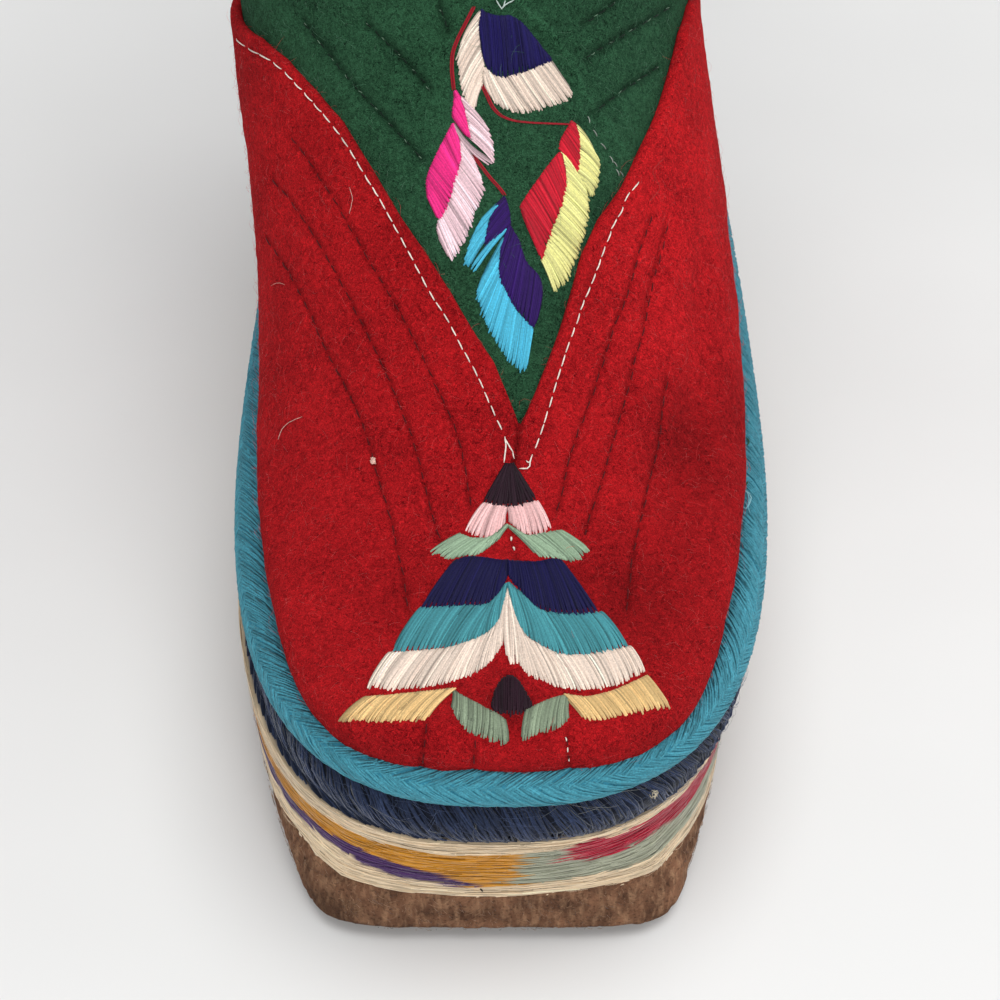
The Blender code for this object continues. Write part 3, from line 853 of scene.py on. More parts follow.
VAMP_COLUMNS, VAMP_ROWS = 540, 112
VAMP_UNDERLAP = 4.0
UPPER_COLUMNS, FRONT_ROWS, SHAFT_ROWS, INSIDE_ROWS = 330, 92, 26, 18
UPPER_START, UPPER_BEND = 5.4, 9.6
COLLAR_ROUND = 1.2
FRONT_LEVELS = np.linspace(1.0, COLLAR, 600)
FRONT_CLIMB = np.concatenate([
    [0.0],
    np.cumsum(np.linalg.norm(np.diff(felt(FRONT_LEVELS, 0.0)[0], axis=0), axis=1)),
])


def climb_levels(start, end, count):
    """Levels from start to end, evenly spaced along the front of the boot, for each place."""
    low = np.interp(start, FRONT_LEVELS, FRONT_CLIMB)
    high = np.interp(end, FRONT_LEVELS, FRONT_CLIMB)
    share = np.linspace(0, 1, count)[:, None]
    return np.interp(low + (high - low) * share, FRONT_CLIMB, FRONT_LEVELS)


def level_size(level, place):
    """Millimetres up the felt for one level."""
    step = 0.03
    above, below = felt(level + step, place)[0], felt(level - step, place)[0]
    return np.linalg.norm(above - below, axis=-1) / (2 * step)


def quilted(away, style):
    """How quilting moves a felt face at distances from its lines, and the painted shade it lays along its
    grooves.
    """
    moved = style.puff * (1 - bell(away, style.puff_width)) - style.depth * bell(away, style.width)
    return moved, 1 - QUILTING_DARK * bell(away, LINE_WIDTH)


def lumpy(points, size):
    """Soft lumps of a felt face, with finer ones over them."""
    return 0.3 * uneven(points, size) + 0.12 * uneven(points, 3.0, 2)


def swollen(swell, levels):
    return swell.out * bell(levels - swell.level, swell.reach)


def vamp_relief(plain, flat, levels, places):
    """How far the red felt moves out from its plain face, and the painted shade in its sewn grooves and slit.
    """
    points = flat.reshape(-1, 3)

    def away_from(*lines):
        return distances(points, [plain.line(line)[0] for line in lines])

    moved, shade = quilted(away_from(*RED_QUILTING, MOTIF_LINE), RED_PUFF)
    moved -= SEWN_DEPTH * bell(away_from(LEFT_STITCHES, RIGHT_STITCHES), SEWN_WIDTH)
    slit = away_from(RED_SLIT)
    moved -= SLIT_DEPTH * bell(slit, SLIT_WIDTH)
    # Painted shade in the slit
    shade *= 1 - SLIT_DARK * bell(slit, LINE_WIDTH)
    for hollow in RED_HOLLOWS:
        moved -= hollow.depth * bell(away_from(hollow.line), hollow.width)
    moved += lumpy(points, 16.0)
    moved = moved.reshape(levels.shape)
    front = ramp(np.abs(places), *TOE_PLACES)
    front = front**2 * (3 - 2 * front)
    moved += swollen(TOE_BULGE, levels) * front
    across, down = np.moveaxis(on_photo(flat), -1, 0)
    beside_toe = ramp(down, *BESIDE_TOE_BEGINS) * ramp(down, *BESIDE_TOE_ENDS)
    moved += swollen(SIDE_DRAWN, levels) * beside_toe * (1 - front)
    flank = ramp(down, *FLANK_BEGINS) * ramp(down, *FLANK_ENDS) * ramp(across, *FLANK_ACROSS)
    moved += swollen(FLANK_DRAWN, levels) * flank
    moved[0] = 0.0
    return moved, shade.reshape(levels.shape)


def painted_patch_shading(outer, places):
    """Painted light and painted shade in soft patches on the front of the red felt."""
    across, down = np.moveaxis(on_photo(outer), -1, 0)
    seen = ramp(np.abs(places), *PATCH_PLACES)
    shade = np.ones(across.shape)
    for patch in RED_PAINTED_LIGHT_AND_SHADE:
        away = np.hypot((across - patch.x) / patch.across, (down - patch.y) / patch.down)
        shade *= 1 + patch.change * seen * bell(away, 1.0)
    return shade


def build_vamp():
    """The red felt, its quilting and rolled edge. Returns the mesh and a skin of its outer face."""
    places = crowded(VAMP_COLUMNS, 5.0, 0.24)
    edge = np.interp(places, VAMP_EDGE[:, 0], VAMP_EDGE[:, 1])
    lip = VAMP_WALL / 2
    size = level_size(edge, places)
    levels = climb_levels(np.full(VAMP_COLUMNS, 1.0), edge - lip / size, VAMP_ROWS)
    levels = np.concatenate([np.full((1, VAMP_COLUMNS), 0.4), levels])
    flat, _ = felt(levels, places, GAP + VAMP_WALL)
    quads = sheet_quads(*levels.shape)
    moved, shade = vamp_relief(Skin(flat.reshape(-1, 3), quads), flat, levels, places)
    outer, _ = felt(levels, places, GAP + VAMP_WALL + moved)
    # Painted light on the flanks, and painted shade over the toe and in the right-hand hollow
    shade *= painted_patch_shading(outer, places)
    turns = np.linspace(0, math.pi, 9)[1:, None]
    lip_levels = edge - (lip - lip * np.sin(turns)) / size
    lip_out = GAP + lip + lip * np.cos(turns) + moved[-1] * (1 + np.cos(turns)) / 2
    rolled, _ = felt(lip_levels, places, lip_out)
    under, _ = felt(edge - VAMP_UNDERLAP / size, places, GAP)
    grid = np.concatenate([outer, rolled, under[None]])
    shades = np.concatenate([shade, np.repeat(shade[-1:], len(grid) - len(outer), axis=0)])
    return sheet(grid, shades), Skin(outer.reshape(-1, 3), quads)


def upper_relief(plain, flat):
    """How far the green felt moves out from its plain face, with painted shade in its sewn grooves and paler
    felt along the seam's ridge.
    """
    points = flat.reshape(-1, 3)
    away = distances(points, [plain.line(line)[0] for line in GREEN_QUILTING])
    moved, shade = quilted(away, GREEN_PUFF)
    # More painted shade in the green felt's sewn grooves
    shade *= 1 - GREEN_LINE_DARK * bell(away, SEWN_WIDTH)
    seam = distances(points, [plain.line(GREEN_SEAM)[0]])
    moved += RIDGE_HEIGHT * bell(seam, RIDGE_WIDTH)
    shade *= 1 + RIDGE_PALE * bell(seam, LINE_WIDTH)
    moved += lumpy(points, 18.0)
    moved = moved.reshape(flat.shape[:2])
    hem_foot = flat[-1, :, 2] - HEM_HEIGHT
    moved += HEM_STEP / (1 + np.exp(-(flat[:, :, 2] - hem_foot) / 0.35))
    return moved, shade.reshape(flat.shape[:2])


def build_upper():
    """The green felt: outside, folded hem, collar and inside. Returns the mesh and its skin."""
    places = crowded(UPPER_COLUMNS, 4.0, 0.16)
    foot, start, bend, collar = (
        np.full(UPPER_COLUMNS, level) for level in (1.0, UPPER_START, UPPER_BEND, COLLAR)
    )
    levels = np.concatenate([
        climb_levels(start, bend, FRONT_ROWS), climb_levels(bend, collar, SHAFT_ROWS)[1:]
    ])
    flat, _ = felt(levels, places)
    quads = sheet_quads(*levels.shape)
    moved, shade = upper_relief(Skin(flat.reshape(-1, 3), quads), flat)
    outer, _ = felt(levels, places, moved)
    round_half = (UPPER_WALL + moved[-1]) / 2
    turns = np.linspace(0, math.pi, 10)[1:, None]
    rim, _ = felt(COLLAR, places, -UPPER_WALL + round_half + round_half * np.cos(turns))
    rim[:, :, 2] += COLLAR_ROUND * np.sin(turns)
    inside_levels = np.concatenate([
        climb_levels(collar, foot, INSIDE_ROWS)[1:], np.full((1, UPPER_COLUMNS), 0.02)
    ])
    dents = 0.3 * uneven(felt(inside_levels, places)[0].reshape(-1, 3), 14.0)
    inner, _ = felt(inside_levels, places, -UPPER_WALL + dents.reshape(inside_levels.shape))
    grid = np.concatenate([outer, rim, inner])
    shades = np.ones(grid.shape[:2])
    shades[:len(outer)] = shade
    return sheet(grid, shades), Skin(outer.reshape(-1, 3), quads)


def fuzz(mesh, keep, count, length, half_width, colour, stand_most):
    """Loose fibres that lie on a felt face, each bent a little and standing off it."""
    points, quads, _ = mesh
    corners = points[quads]
    normals = np.cross(corners[:, 2] - corners[:, 0], corners[:, 3] - corners[:, 1])
    area = np.linalg.norm(normals, axis=1)
    weight = area * keep(corners.mean(axis=1))
    chosen = CHANCE.choice(len(quads), count, p=weight / weight.sum())
    normal = unit(normals[chosen])
    start = corners[chosen].mean(axis=1)
    side = unit(np.cross(normal, CHANCE.normal(size=(count, 3))))
    cross = np.cross(normal, side)
    size = length * CHANCE.lognormal(0.0, 0.45, (count, 1, 1))
    taper = np.array([1.0, 1.0, 0.8, 0.1])
    sides = 3
    share = np.linspace(0, 1, len(taper))[None, :, None]
    bend = CHANCE.normal(0, 0.6, (count, 1, 1))
    stand = CHANCE.uniform(0.02, stand_most, (count, 1, 1))
    paths = (
        start[:, None]
        + side[:, None] * size * share
        + cross[:, None] * size * bend * share * (1 - share)
        + normal[:, None] * (size * stand * np.sin(share * 2.6) + 0.03)
    )
    ups = np.broadcast_to(normal[:, None], paths.shape)
    some, faces = tubes(paths, ups, half_width, half_width, sides, taper)
    shades = CHANCE.uniform(0.75, 1.35, (count, 1)) * colour
    return some, faces, strand_tints(shades, len(taper) * sides)


# Sewing

def drop_paths(skin, pixels, heights):
    """Strands on a surface from paths on the photo, left out where the surface isn't there."""
    points, normals = skin.drop(pixels)
    there = ~np.isnan(points).any(axis=(1, 2))
    points, normals = points[there], normals[there]
    normals = unit(normals + normals.mean(axis=1, keepdims=True))
    return points + normals * heights[there][..., None], normals, there


# A strand of embroidery: places along it, and how high it stands at each
STRAND_PLACES = np.array((0.0, 0.03, 0.12, 0.3, 0.5, 0.7, 0.88, 0.97, 1.0))
STRAND_RISE = np.array((-0.3, 0.08, 0.26, 0.33, 0.35, 0.33, 0.26, 0.08, -0.3))
STRAND_HALF_HEIGHT = 0.17
STRAND_PITCH, CLUMP = 1.6, 3.5     # pixels from strand to strand, and strands to a clump

# The two layers of a leaf: a bed of broad strands, darker as painted shade under the fine ones, and fine ones
# gathered into clumps above it.
# One strand in every so many is laid
Layer = namedtuple("Layer", "every gather rise half_width shade")
BED = Layer(2, 0.0, -0.14, 0.52, 0.62)
FINE = Layer(1, 0.36, 0.0, 0.2, 1.0)


def fan_strands(skin, fan):
    """The satin stitches of one leaf of embroidery."""
    levels = np.linspace(0, len(fan.roots) - 1, 40 * len(fan.roots))
    root_line, tip_line = (
        np.array([smooth_rows(np.array(ends, float), level) for level in levels])
        for ends in (fan.roots, fan.tips)
    )
    spread = np.maximum(
        *(np.linalg.norm(np.diff(line, axis=0), axis=1) for line in (root_line, tip_line))
    )
    along = np.concatenate([[0.0], np.cumsum(spread)])
    count = max(3, int(along[-1] / STRAND_PITCH))
    order = np.arange(count) + 0.5
    clump = np.round((order + CHANCE.normal(0, 0.5, count)) / CLUMP) * CLUMP

    def at(line, place):
        place = np.clip(place / count, 0, 1) * along[-1]
        return np.stack([np.interp(place, along, line[:, i]) for i in (0, 1)], axis=1)

    steps, sides = len(STRAND_PLACES), 4
    s = STRAND_PLACES[None, :, None]
    taper = np.full(steps, 1.0)
    taper[[0, -1]] = 0.4
    groups = CHANCE.normal(1.0, 0.07, count + 4)[clump.astype(int)]
    tints = THREADS[fan.thread] * (groups * CHANCE.normal(1.0, 0.18, count))[:, None]
    meshes = []
    for layer in (BED, FINE):
        some = order[::layer.every]
        roots = at(root_line, some + CHANCE.normal(0, 0.15, len(some)))
        ends = at(tip_line, some)
        run = unit(ends - roots)
        ragged = CHANCE.normal(0.4, 1.3, (len(some), 1))
        gathered = some * (1 - layer.gather) + clump[::layer.every] * layer.gather
        tips = at(tip_line, gathered) + run * ragged
        if layer is BED:
            tips = ends - (ends - roots) * 0.1
        roots = roots - run * fan.tuck * CHANCE.uniform(0.4, 1.0, (len(some), 1))
        across = np.stack([-run[:, 1], run[:, 0]], axis=1)
        middle = (roots + ends) / 2 + across * fan.bow
        pixels = roots[:, None] * (1 - s) ** 2 + middle[:, None] * 2 * s * (1 - s) + tips[:, None] * s**2
        heights = STRAND_RISE + layer.rise + CHANCE.normal(0, 0.05, (len(some), 1))
        paths, normals, there = drop_paths(skin, pixels, heights)
        points, quads = tubes(paths, normals, layer.half_width, STRAND_HALF_HEIGHT, sides, taper)
        shades = tints[::layer.every][there] * layer.shade
        meshes.append((points, quads, strand_tints(shades, steps * sides)))
    return joined(meshes)


STITCH_SINK = 0.24         # how deep a dash dives at its ends


def run_stitches(skin, line, stitch):
    """Running stitches along a line on the photo: dashes that dive into the felt at their ends."""
    length = line_length(smooth_line(line, 200))
    fine = smooth_line(line, int(length * 2))
    starts = np.arange(0, length - stitch.dash * 0.6, stitch.dash + stitch.gap)
    count = len(starts)
    starts = starts + CHANCE.normal(0, 0.05 * stitch.dash, count)
    ends = starts + stitch.dash * CHANCE.uniform(0.92, 1.06, count)
    taper = np.array([0.4, 0.85, 1, 1, 0.85, 0.4])
    sides = 5
    share = np.linspace(0, 1, len(taper))
    along = starts[:, None] + (ends - starts)[:, None] * share
    place = np.clip(along / length, 0, 1) * (len(fine) - 1)
    pixels = np.stack([np.interp(place, np.arange(len(fine)), fine[:, i]) for i in (0, 1)], axis=-1)
    tilt = CHANCE.normal(0, stitch.wander, (count, 1, 2)) * (share[None, :, None] - 0.5)
    pixels = pixels + tilt + CHANCE.normal(0, stitch.wander * 0.4, (count, 1, 2))
    heights = stitch.lift * np.sin(math.pi * share) ** 0.5 - STITCH_SINK + np.zeros((count, 1))
    paths, normals, _ = drop_paths(skin, pixels, heights)
    points, quads = tubes(paths, normals, stitch.half_width, stitch.half_width * 0.8, sides, taper)
    tints = stitch.colour * CHANCE.normal(1.0, 0.08, (len(paths), 1))
    return points, quads, strand_tints(tints, len(taper) * sides)


def loose_thread(skin, line, half_width, colour, lift):
    """One thread that lies along a line on the photo."""
    step, sides = 3, 5
    count = max(6, int(line_length(line) / step))
    pixels = smooth_line(line, count)[None]
    heights = np.full((1, count), lift) + CHANCE.uniform(-0.05, 0.12, (1, count))
    paths, normals, _ = drop_paths(skin, pixels, heights)
    taper = np.ones(count)
    taper[[0, -1]] = 0.4
    points, quads = tubes(paths, normals, half_width, half_width, sides, taper)
    return points, quads, colour


def tangle(skin, middle, size, count, half_width, colour):
    """A small tangle of fibres caught on the boot."""
    strands = []
    for _ in range(count):
        turns = CHANCE.uniform(0, 2 * math.pi, 4)
        reach = CHANCE.uniform(0.25, 1.0, 4) * size
        line = np.array(middle) + np.stack([np.cos(turns), np.sin(turns)], axis=1) * reach[:, None]
        shade = colour * CHANCE.uniform(0.75, 1.1)
        strands.append(loose_thread(skin, line.tolist(), half_width, shade, CHANCE.uniform(0.15, 0.7)))
    return strands


# Edgings and sole

GIRTH, BRAID_GIRTH = 640.0, 620.0       # rough lengths round the sole and cord, and round the braid
CORD_LEVEL, BRAID_LEVEL = 1.0, 0.5      # levels of UPPER_SECTIONS that the cord and the braid lie against
CORD_OUT = CORD_RADIUS + CORD_CLEAR
BRAID_OUT, BRAID_UP = BRAID_THICKNESS / 2, BRAID_HEIGHT / 2
BRAID_MIDDLE = SOLE_TOP + GAP + BRAID_UP
TUBE_SIDES, TUBE_PLACES = 19, 260
# The cord's braid: angles at which its fibres start and end on each side, and the shift of its bundles
CORD_SIDES = ((24.0, 150.0, 0.0), (46.0, -84.0, 0.5))
CORD_RUN = 13.5            # how far a fibre runs along the cord on its way


def closed_tube(level, places, middle, height, half_out, half_up):
    """A plain closed cord round the felt, as points and quads."""
    turn = np.radians(np.linspace(0, 360, TUBE_SIDES))[:, None]
    rings, _ = edging(level, places, middle + half_out * np.cos(turn), height + half_up * np.sin(turn))
    return rings.reshape(-1, 3), sheet_quads(TUBE_SIDES, len(places))


def cord_tube(radius):
    places = crowded(TUBE_PLACES, 1.5, 0.25)
    return closed_tube(CORD_LEVEL, places, CORD_OUT, CORD_CENTRE, radius, radius)


def braid_tube(half_out, half_up):
    places = crowded(TUBE_PLACES, 1.5, 0.2)
    return closed_tube(BRAID_LEVEL, places, BRAID_OUT, BRAID_MIDDLE, half_out, half_up)


def tube_normals(outward, angle):
    """Normals of a cord at angles round it, from the level normals of its line."""
    normals = outward * np.cos(angle)[..., None]
    normals[..., 2] += np.sin(angle)
    return normals


def cord_meshes():
    """A flat braid of turquoise cotton: bundles of fibres run from its middle line to its edges."""
    meshes = [(*cord_tube(CORD_RADIUS - 0.45), CORD_CORE)]
    bundles, fibres, steps, sides = 208, 9, 6, 3
    count = bundles * fibres
    pitch = 1.0 / bundles
    share = np.linspace(0, 1, steps)
    for start_angle, end_angle, shift in CORD_SIDES:
        first = np.repeat(np.arange(bundles) * pitch - 0.5 + shift * pitch, fibres)
        first = first + np.repeat(CHANCE.normal(0, 0.06 * pitch, bundles), fibres)
        spot = np.tile(np.linspace(-1, 1, fibres), bundles) + CHANCE.normal(0, 0.06, count)
        begin = start_angle + CHANCE.normal(0, 6.0, (count, 1))
        angle = np.radians(begin + (end_angle - begin) * share + CHANCE.normal(0, 3.0, (count, 1)))
        shift_along = (CORD_RUN + CHANCE.normal(0, 0.7, (count, 1))) / GIRTH
        place = first[:, None] + spot[:, None] * pitch * 0.5 + share[None] * shift_along
        dome = 0.16 * np.sqrt(np.clip(1 - spot[:, None] ** 2, 0, 1))
        dive = 0.25 * bell(share, 0.13)[None]
        radius = 3.9 + dome - dive + CHANCE.normal(0, 0.03, (count, 1))
        radius = np.minimum(radius, CORD_RADIUS)
        out, height = CORD_OUT + radius * np.cos(angle), CORD_CENTRE + radius * np.sin(angle)
        paths, outward = edging(CORD_LEVEL, place, out, height)
        normals = tube_normals(outward, angle)
        points, quads = tubes(paths, normals, half_width=0.26, half_height=0.09, sides=sides)
        bundle_tint = np.repeat(CHANCE.normal(1.0, 0.05, (bundles, 1)), fibres, axis=0)
        tints = CORD_FIBRE * bundle_tint * CHANCE.normal(1.0, 0.1, (count, 1))
        meshes.append((points, quads, strand_tints(tints, steps * sides)))
    return joined(meshes)


def braid_meshes():
    """The navy wool braid: fat slanted lobes over a dark core, with soft fibres along them."""
    meshes = [(*braid_tube(BRAID_OUT - 0.5, BRAID_UP - 0.4), BRAID_CORE)]
    lobes = 142
    pitch = 1.0 / lobes
    starts = np.arange(lobes) * pitch - 0.5 + CHANCE.normal(0, 0.1 * pitch, lobes)
    slants = CHANCE.normal(7.0, 1.2, lobes)
    tones = CHANCE.normal(1.0, 0.12, lobes)

    def along_lobes(strands, steps, depth, waviness):
        """Paths down the lobes, some strands to each, with their normals and how near its back they lie."""
        count = lobes * strands
        share = np.linspace(0, 1, steps)[None]
        spot = np.tile(np.linspace(-1, 1, strands) if strands > 1 else [0.0], lobes)[:, None]
        spot = spot + CHANCE.normal(0, 0.06, (count, 1))
        swell = np.sin(math.pi * (0.12 + 0.76 * share))
        wave = waviness * np.sin(share * 6 + CHANCE.uniform(0, 6.3, (count, 1)))
        slant = np.repeat(slants, strands)[:, None] + CHANCE.normal(0, 2 * waviness, (count, 1))
        place = np.repeat(starts, strands)[:, None] + spot * pitch * (0.2 + 0.34 * swell)
        place = place + (share * slant + wave) / BRAID_GIRTH
        high, low = 80, -86 + CHANCE.normal(0, 17 * waviness, (count, 1))
        angle = np.radians(high + (low - high) * share)
        back = np.sqrt(np.clip(1 - spot**2, 0, 1))
        dome = (1.3 * back + 0.35 * spot) * swell + CHANCE.normal(0, 0.3 * waviness, (count, 1)) - depth
        out = BRAID_OUT + (BRAID_OUT - 0.9 + dome) * np.cos(angle)
        height = BRAID_MIDDLE + (BRAID_UP - 0.4 + dome * 0.3) * np.sin(angle)
        paths, outward = edging(BRAID_LEVEL, place, out, height)
        rim, _ = sole_side(SOLE_TOP + 0 * place, place, -0.6)
        drawn = 0.9 * np.clip(-np.sin(angle), 0, 1)[..., None] ** 2
        return paths * (1 - drawn) + rim * drawn, tube_normals(outward, angle), back

    steps, sides = 8, 8
    paths, normals, _ = along_lobes(1, steps, 1.3, 0.0)
    taper = 0.05 + 0.95 * np.sin(math.pi * np.linspace(0.06, 0.94, steps))
    points, quads = tubes(paths, normals, half_width=2.0, half_height=0.8, sides=sides, taper=taper)
    meshes.append((points, quads, strand_tints(BRAID_LOBE * tones[:, None], steps * sides)))
    strands, steps, sides = 15, 6, 3
    paths, normals, back = along_lobes(strands, steps, -0.1, 0.35)
    points, quads = tubes(paths, normals, half_width=0.22, half_height=0.16, sides=sides)
    # Painted shade: fibres darker towards the edges of their lobe
    tints = BRAID_FIBRE * np.repeat(tones, strands)[:, None] * (0.25 + 0.8 * back)
    tints = tints * CHANCE.lognormal(0.0, 0.14, (len(tints), 1))
    meshes.append((points, quads, strand_tints(tints, steps * sides)))
    return joined(meshes)


def braid_fuzz():
    """Fine hairs that stand off the navy braid."""
    count, sides, half_width = 1300, 3, 0.03
    taper = np.array([1, 1, 1, 0.8, 0.2])
    share = np.linspace(0, 1, len(taper))[None]
    first = chance_places(count, front_share=0.7, gather=0.5)
    start = CHANCE.uniform(-75, 75, (count, 1))
    angle = np.radians(start + CHANCE.normal(-20, 25, (count, 1)) * share)
    place = first + share * (CHANCE.normal(3.0, 3.0, (count, 1)) / BRAID_GIRTH)
    stand = CHANCE.uniform(0.3, 1.3, (count, 1)) * np.sin(share * 2.6)
    out = BRAID_OUT + (BRAID_OUT + stand) * np.cos(angle)
    height = BRAID_MIDDLE + (BRAID_UP - 0.2 + stand * 0.5) * np.sin(angle)
    paths, outward = edging(BRAID_LEVEL, place, out, height)
    points, quads = tubes(paths, outward, half_width, half_width, sides, taper)
    tints = np.where(CHANCE.random((count, 1)) < 0.12, GREY_HAIR, NAVY_HAIR)
    tints = tints * CHANCE.uniform(0.7, 1.2, (count, 1))
    return points, quads, strand_tints(tints, len(taper) * sides)


# Lines on the photo round the sole's side: the top of the hide, the top of the lower cream, where the two
# dyed bands part, and the foot of the upper cream
HIDE_EDGE = (
    (281, 795), (298, 825), (314, 852), (341, 876), (365, 884), (412, 893), (467, 897), (521, 897),
    (585, 890), (629, 881), (656, 872), (676, 849), (693, 825), (707, 801),
)
CREAM_EDGE = (
    (277, 781), (287, 798), (304, 822), (331, 845), (365, 866), (399, 878), (433, 883), (467, 887),
    (521, 886), (568, 880), (602, 874), (629, 868), (656, 857), (680, 832), (696, 808), (710, 781),
)
DYED_EDGE = (
    (275, 774), (298, 807), (325, 831), (355, 848), (389, 862), (419, 870), (446, 877), (467, 884),
    (521, 880), (555, 867), (571, 859), (595, 860), (619, 852), (652, 835), (676, 817), (703, 791),
    (717, 774), (737, 727),
)
UPPER_EDGE = (
    (260, 730), (274, 761), (291, 788), (311, 808), (338, 825), (372, 842), (406, 850), (446, 856),
    (480, 857), (521, 856), (551, 852), (578, 847), (588, 839), (615, 838), (642, 825), (669, 805),
    (693, 788), (713, 768), (730, 741), (740, 707),
)
LINE_PLACES = np.concatenate([(-0.5, -0.36), np.linspace(-0.22, 0.22, 133), (0.36, 0.5)])
# A place counts as seen where the way to the camera goes this many millimetres along its normal
FACING = 60.0
# How far the bands' edges lie above the hide out of sight
CREAM_RISE, DYED_RISE, UPPER_RISE = 4.0, 7.0, 11.0


def side_line(line, plain):
    """Heights on the sole's side along a line on the photo, led on to a plain height out of sight."""
    line = np.array(line, float)
    heights = np.linspace(2.0, SOLE_TOP, 80)
    points, normals = sole_side(heights[:, None], LINE_PLACES)
    spots = on_photo(points)
    above = np.interp(spots[..., 0], line[:, 0], line[:, 1]) - spots[..., 1]
    found = np.array([np.interp(0.0, column, heights) for column in above.T])
    seen = np.where((((EYE - points) * normals).sum(axis=-1) > FACING).all(axis=0))[0]
    found = np.interp(np.arange(len(found)), seen, found[seen])
    found[[0, 1, -2, -1]] = plain
    return found


HIDE_TOP = side_line(HIDE_EDGE, HIDE_HEIGHT)
CREAM_TOP = np.maximum(side_line(CREAM_EDGE, HIDE_HEIGHT + CREAM_RISE), HIDE_TOP + 0.6)
DYED_SPLIT = np.maximum(side_line(DYED_EDGE, HIDE_HEIGHT + DYED_RISE), CREAM_TOP + 0.1)
UPPER_FOOT = np.maximum(side_line(UPPER_EDGE, HIDE_HEIGHT + UPPER_RISE), DYED_SPLIT + 0.8)
YARN_COLUMNS, YARN_BED_ROWS = 300, 29
# Where the dyes of the two bands end, in millimetres to the outer side
LOWER_PLUM_END, LOWER_MUSTARD_END = -6.0, 2.0
UPPER_MUSTARD_END, UPPER_SAGE_END = 4.0, 13.0

# Fibres of the yarn: how many, length, slope, half width and how far they stand off, in millimetres
Fibres = namedtuple("Fibres", "count length slope half_width stand")
LAID_FIBRES = Fibres(2800, 13.0, 0.25, 0.18, 0.0)
STRAY_HAIRS = Fibres(600, 6.0, 2.0, 0.03, 0.7)


def yarn_foot(place):
    return np.interp(place, LINE_PLACES, HIDE_TOP) - 1.0


def yarn_colour(side, place, height):
    """Colours of the wound yarn at side places in millimetres, places round the sole and heights."""
    low, split, high = (np.interp(place, LINE_PLACES, line) for line in (CREAM_TOP, DYED_SPLIT, UPPER_FOOT))
    side = side[..., None]
    lower = np.where(side < LOWER_PLUM_END, PLUM, np.where(side < LOWER_MUSTARD_END, MUSTARD, GREY_SAGE))
    upper = np.where(side < UPPER_MUSTARD_END, MUSTARD, np.where(side < UPPER_SAGE_END, GREY_SAGE, RUBY))
    dyed = np.where((height < split)[..., None], lower, upper)
    plain = (height < low) | (height > high)
    return np.where(plain[..., None], CREAM, dyed)


def yarn_meshes():
    """Dyed wool roving wound round the sole: a ribbed bed, with fibres that lie along it."""
    places = crowded(YARN_COLUMNS, 2.5, 0.2)
    foot = yarn_foot(places)
    shares = np.linspace(0, 1, YARN_BED_ROWS)[:, None] + np.zeros(YARN_COLUMNS)
    heights = foot + (SOLE_TOP - foot) * shares
    spots, _ = sole_side(heights, places)
    wander = uneven(spots.reshape(-1, 3), 9.0, 2).reshape(shares.shape)
    ribs = np.abs(np.sin(math.pi * (shares * YARN_ROWS + 0.35 * wander)))
    bed, _ = sole_side(heights, places, 0.4 * ribs**0.5 - 0.65)
    shore = [
        sole_ring(SOLE_TOP, places, -step) + np.array([0, 0, rise])
        for step, rise in ((1.6, 0.1), (4.0, 0.05), (8.0, 0.0))
    ]
    tints = yarn_colour(spots[..., 0] + 1.5 * wander, places + 0 * shares, heights + 0.3 * wander)
    # Painted shade in the grooves between the rows
    tints = tints * (0.55 + 0.4 * ribs[..., None])
    tints = np.concatenate([tints, np.broadcast_to(UNDER_BRAID, (len(shore), YARN_COLUMNS, 3))])
    meshes = [sheet(np.concatenate([bed, np.array(shore)]), tints)]

    steps, sides = 6, 3
    along = np.linspace(-0.5, 0.5, steps)[None]
    for count, length, slope, half_width, stand in (LAID_FIBRES, STRAY_HAIRS):
        place = chance_places(count, front_share=0.75, gather=0.46)
        size = length * CHANCE.uniform(0.6, 1.4, (count, 1))
        place = place + along * size / GIRTH
        share = CHANCE.uniform(0.06, 1.0, (count, 1))
        foot = yarn_foot(place)
        wave = CHANCE.normal(0, 0.15, (count, 1)) * np.cos(along * 5)
        height = foot + (SOLE_TOP - foot) * share + CHANCE.normal(0.1, slope, (count, 1)) * along + wave
        height = np.clip(height, foot + 0.9, SOLE_TOP + 0.3)
        arch = np.sqrt(np.clip(1 - (2 * along) ** 2, 0, 1))
        off = 0.16 * arch - 0.4 + CHANCE.uniform(-0.1, 0.2, (count, 1))
        off = off + stand * CHANCE.random((count, 1)) * np.sin(math.pi * (along + 0.5))
        paths, normals = sole_side(height, place, off)
        points, quads = tubes(paths, normals, half_width, half_width * 0.5, sides)
        side = paths[..., 0] + CHANCE.normal(0, 1.5, (count, 1))
        shades = yarn_colour(side, place, height + CHANCE.normal(0, 0.2, (count, 1)))
        shades = shades * CHANCE.normal(0.98, 0.12, (count, 1, 1))
        meshes.append((points, quads, strand_tints(shades.reshape(-1, 3), sides)))
    return joined(meshes)


def ladder(ring, rungs, flip):
    """A closed ring filled with rungs across the boot, as points and quads."""
    half = len(ring) // 2
    first = np.roll(ring, -half, axis=0)
    outer, inner = first[1:half], first[::-1][:half - 1]
    share = np.linspace(0, 1, rungs)[None, :, None]
    grid = inner[:, None] * (1 - share) + outer[:, None] * share
    quads = sheet_quads(half - 1, rungs, closed=False)
    return grid.reshape(-1, 3), quads[:, ::-1] if flip else quads


# The hide's corners at the toe: place round the sole, and how far the cut edge stands out there
HIDE_CORNERS = ((-0.056, 1.0), (0.056, 1.6))
HIDE_CORNER_REACH = 0.014
HIDE_COLUMNS, HIDE_ROWS = 640, 18
# The rounded foot of the hide: heights, and how far it draws in at each
FOOT_HEIGHTS = np.array([0.0, 0.25, 0.7, 1.3])
FOOT_DRAWN = np.array([0.7, 0.3, 0.1, 0.03])
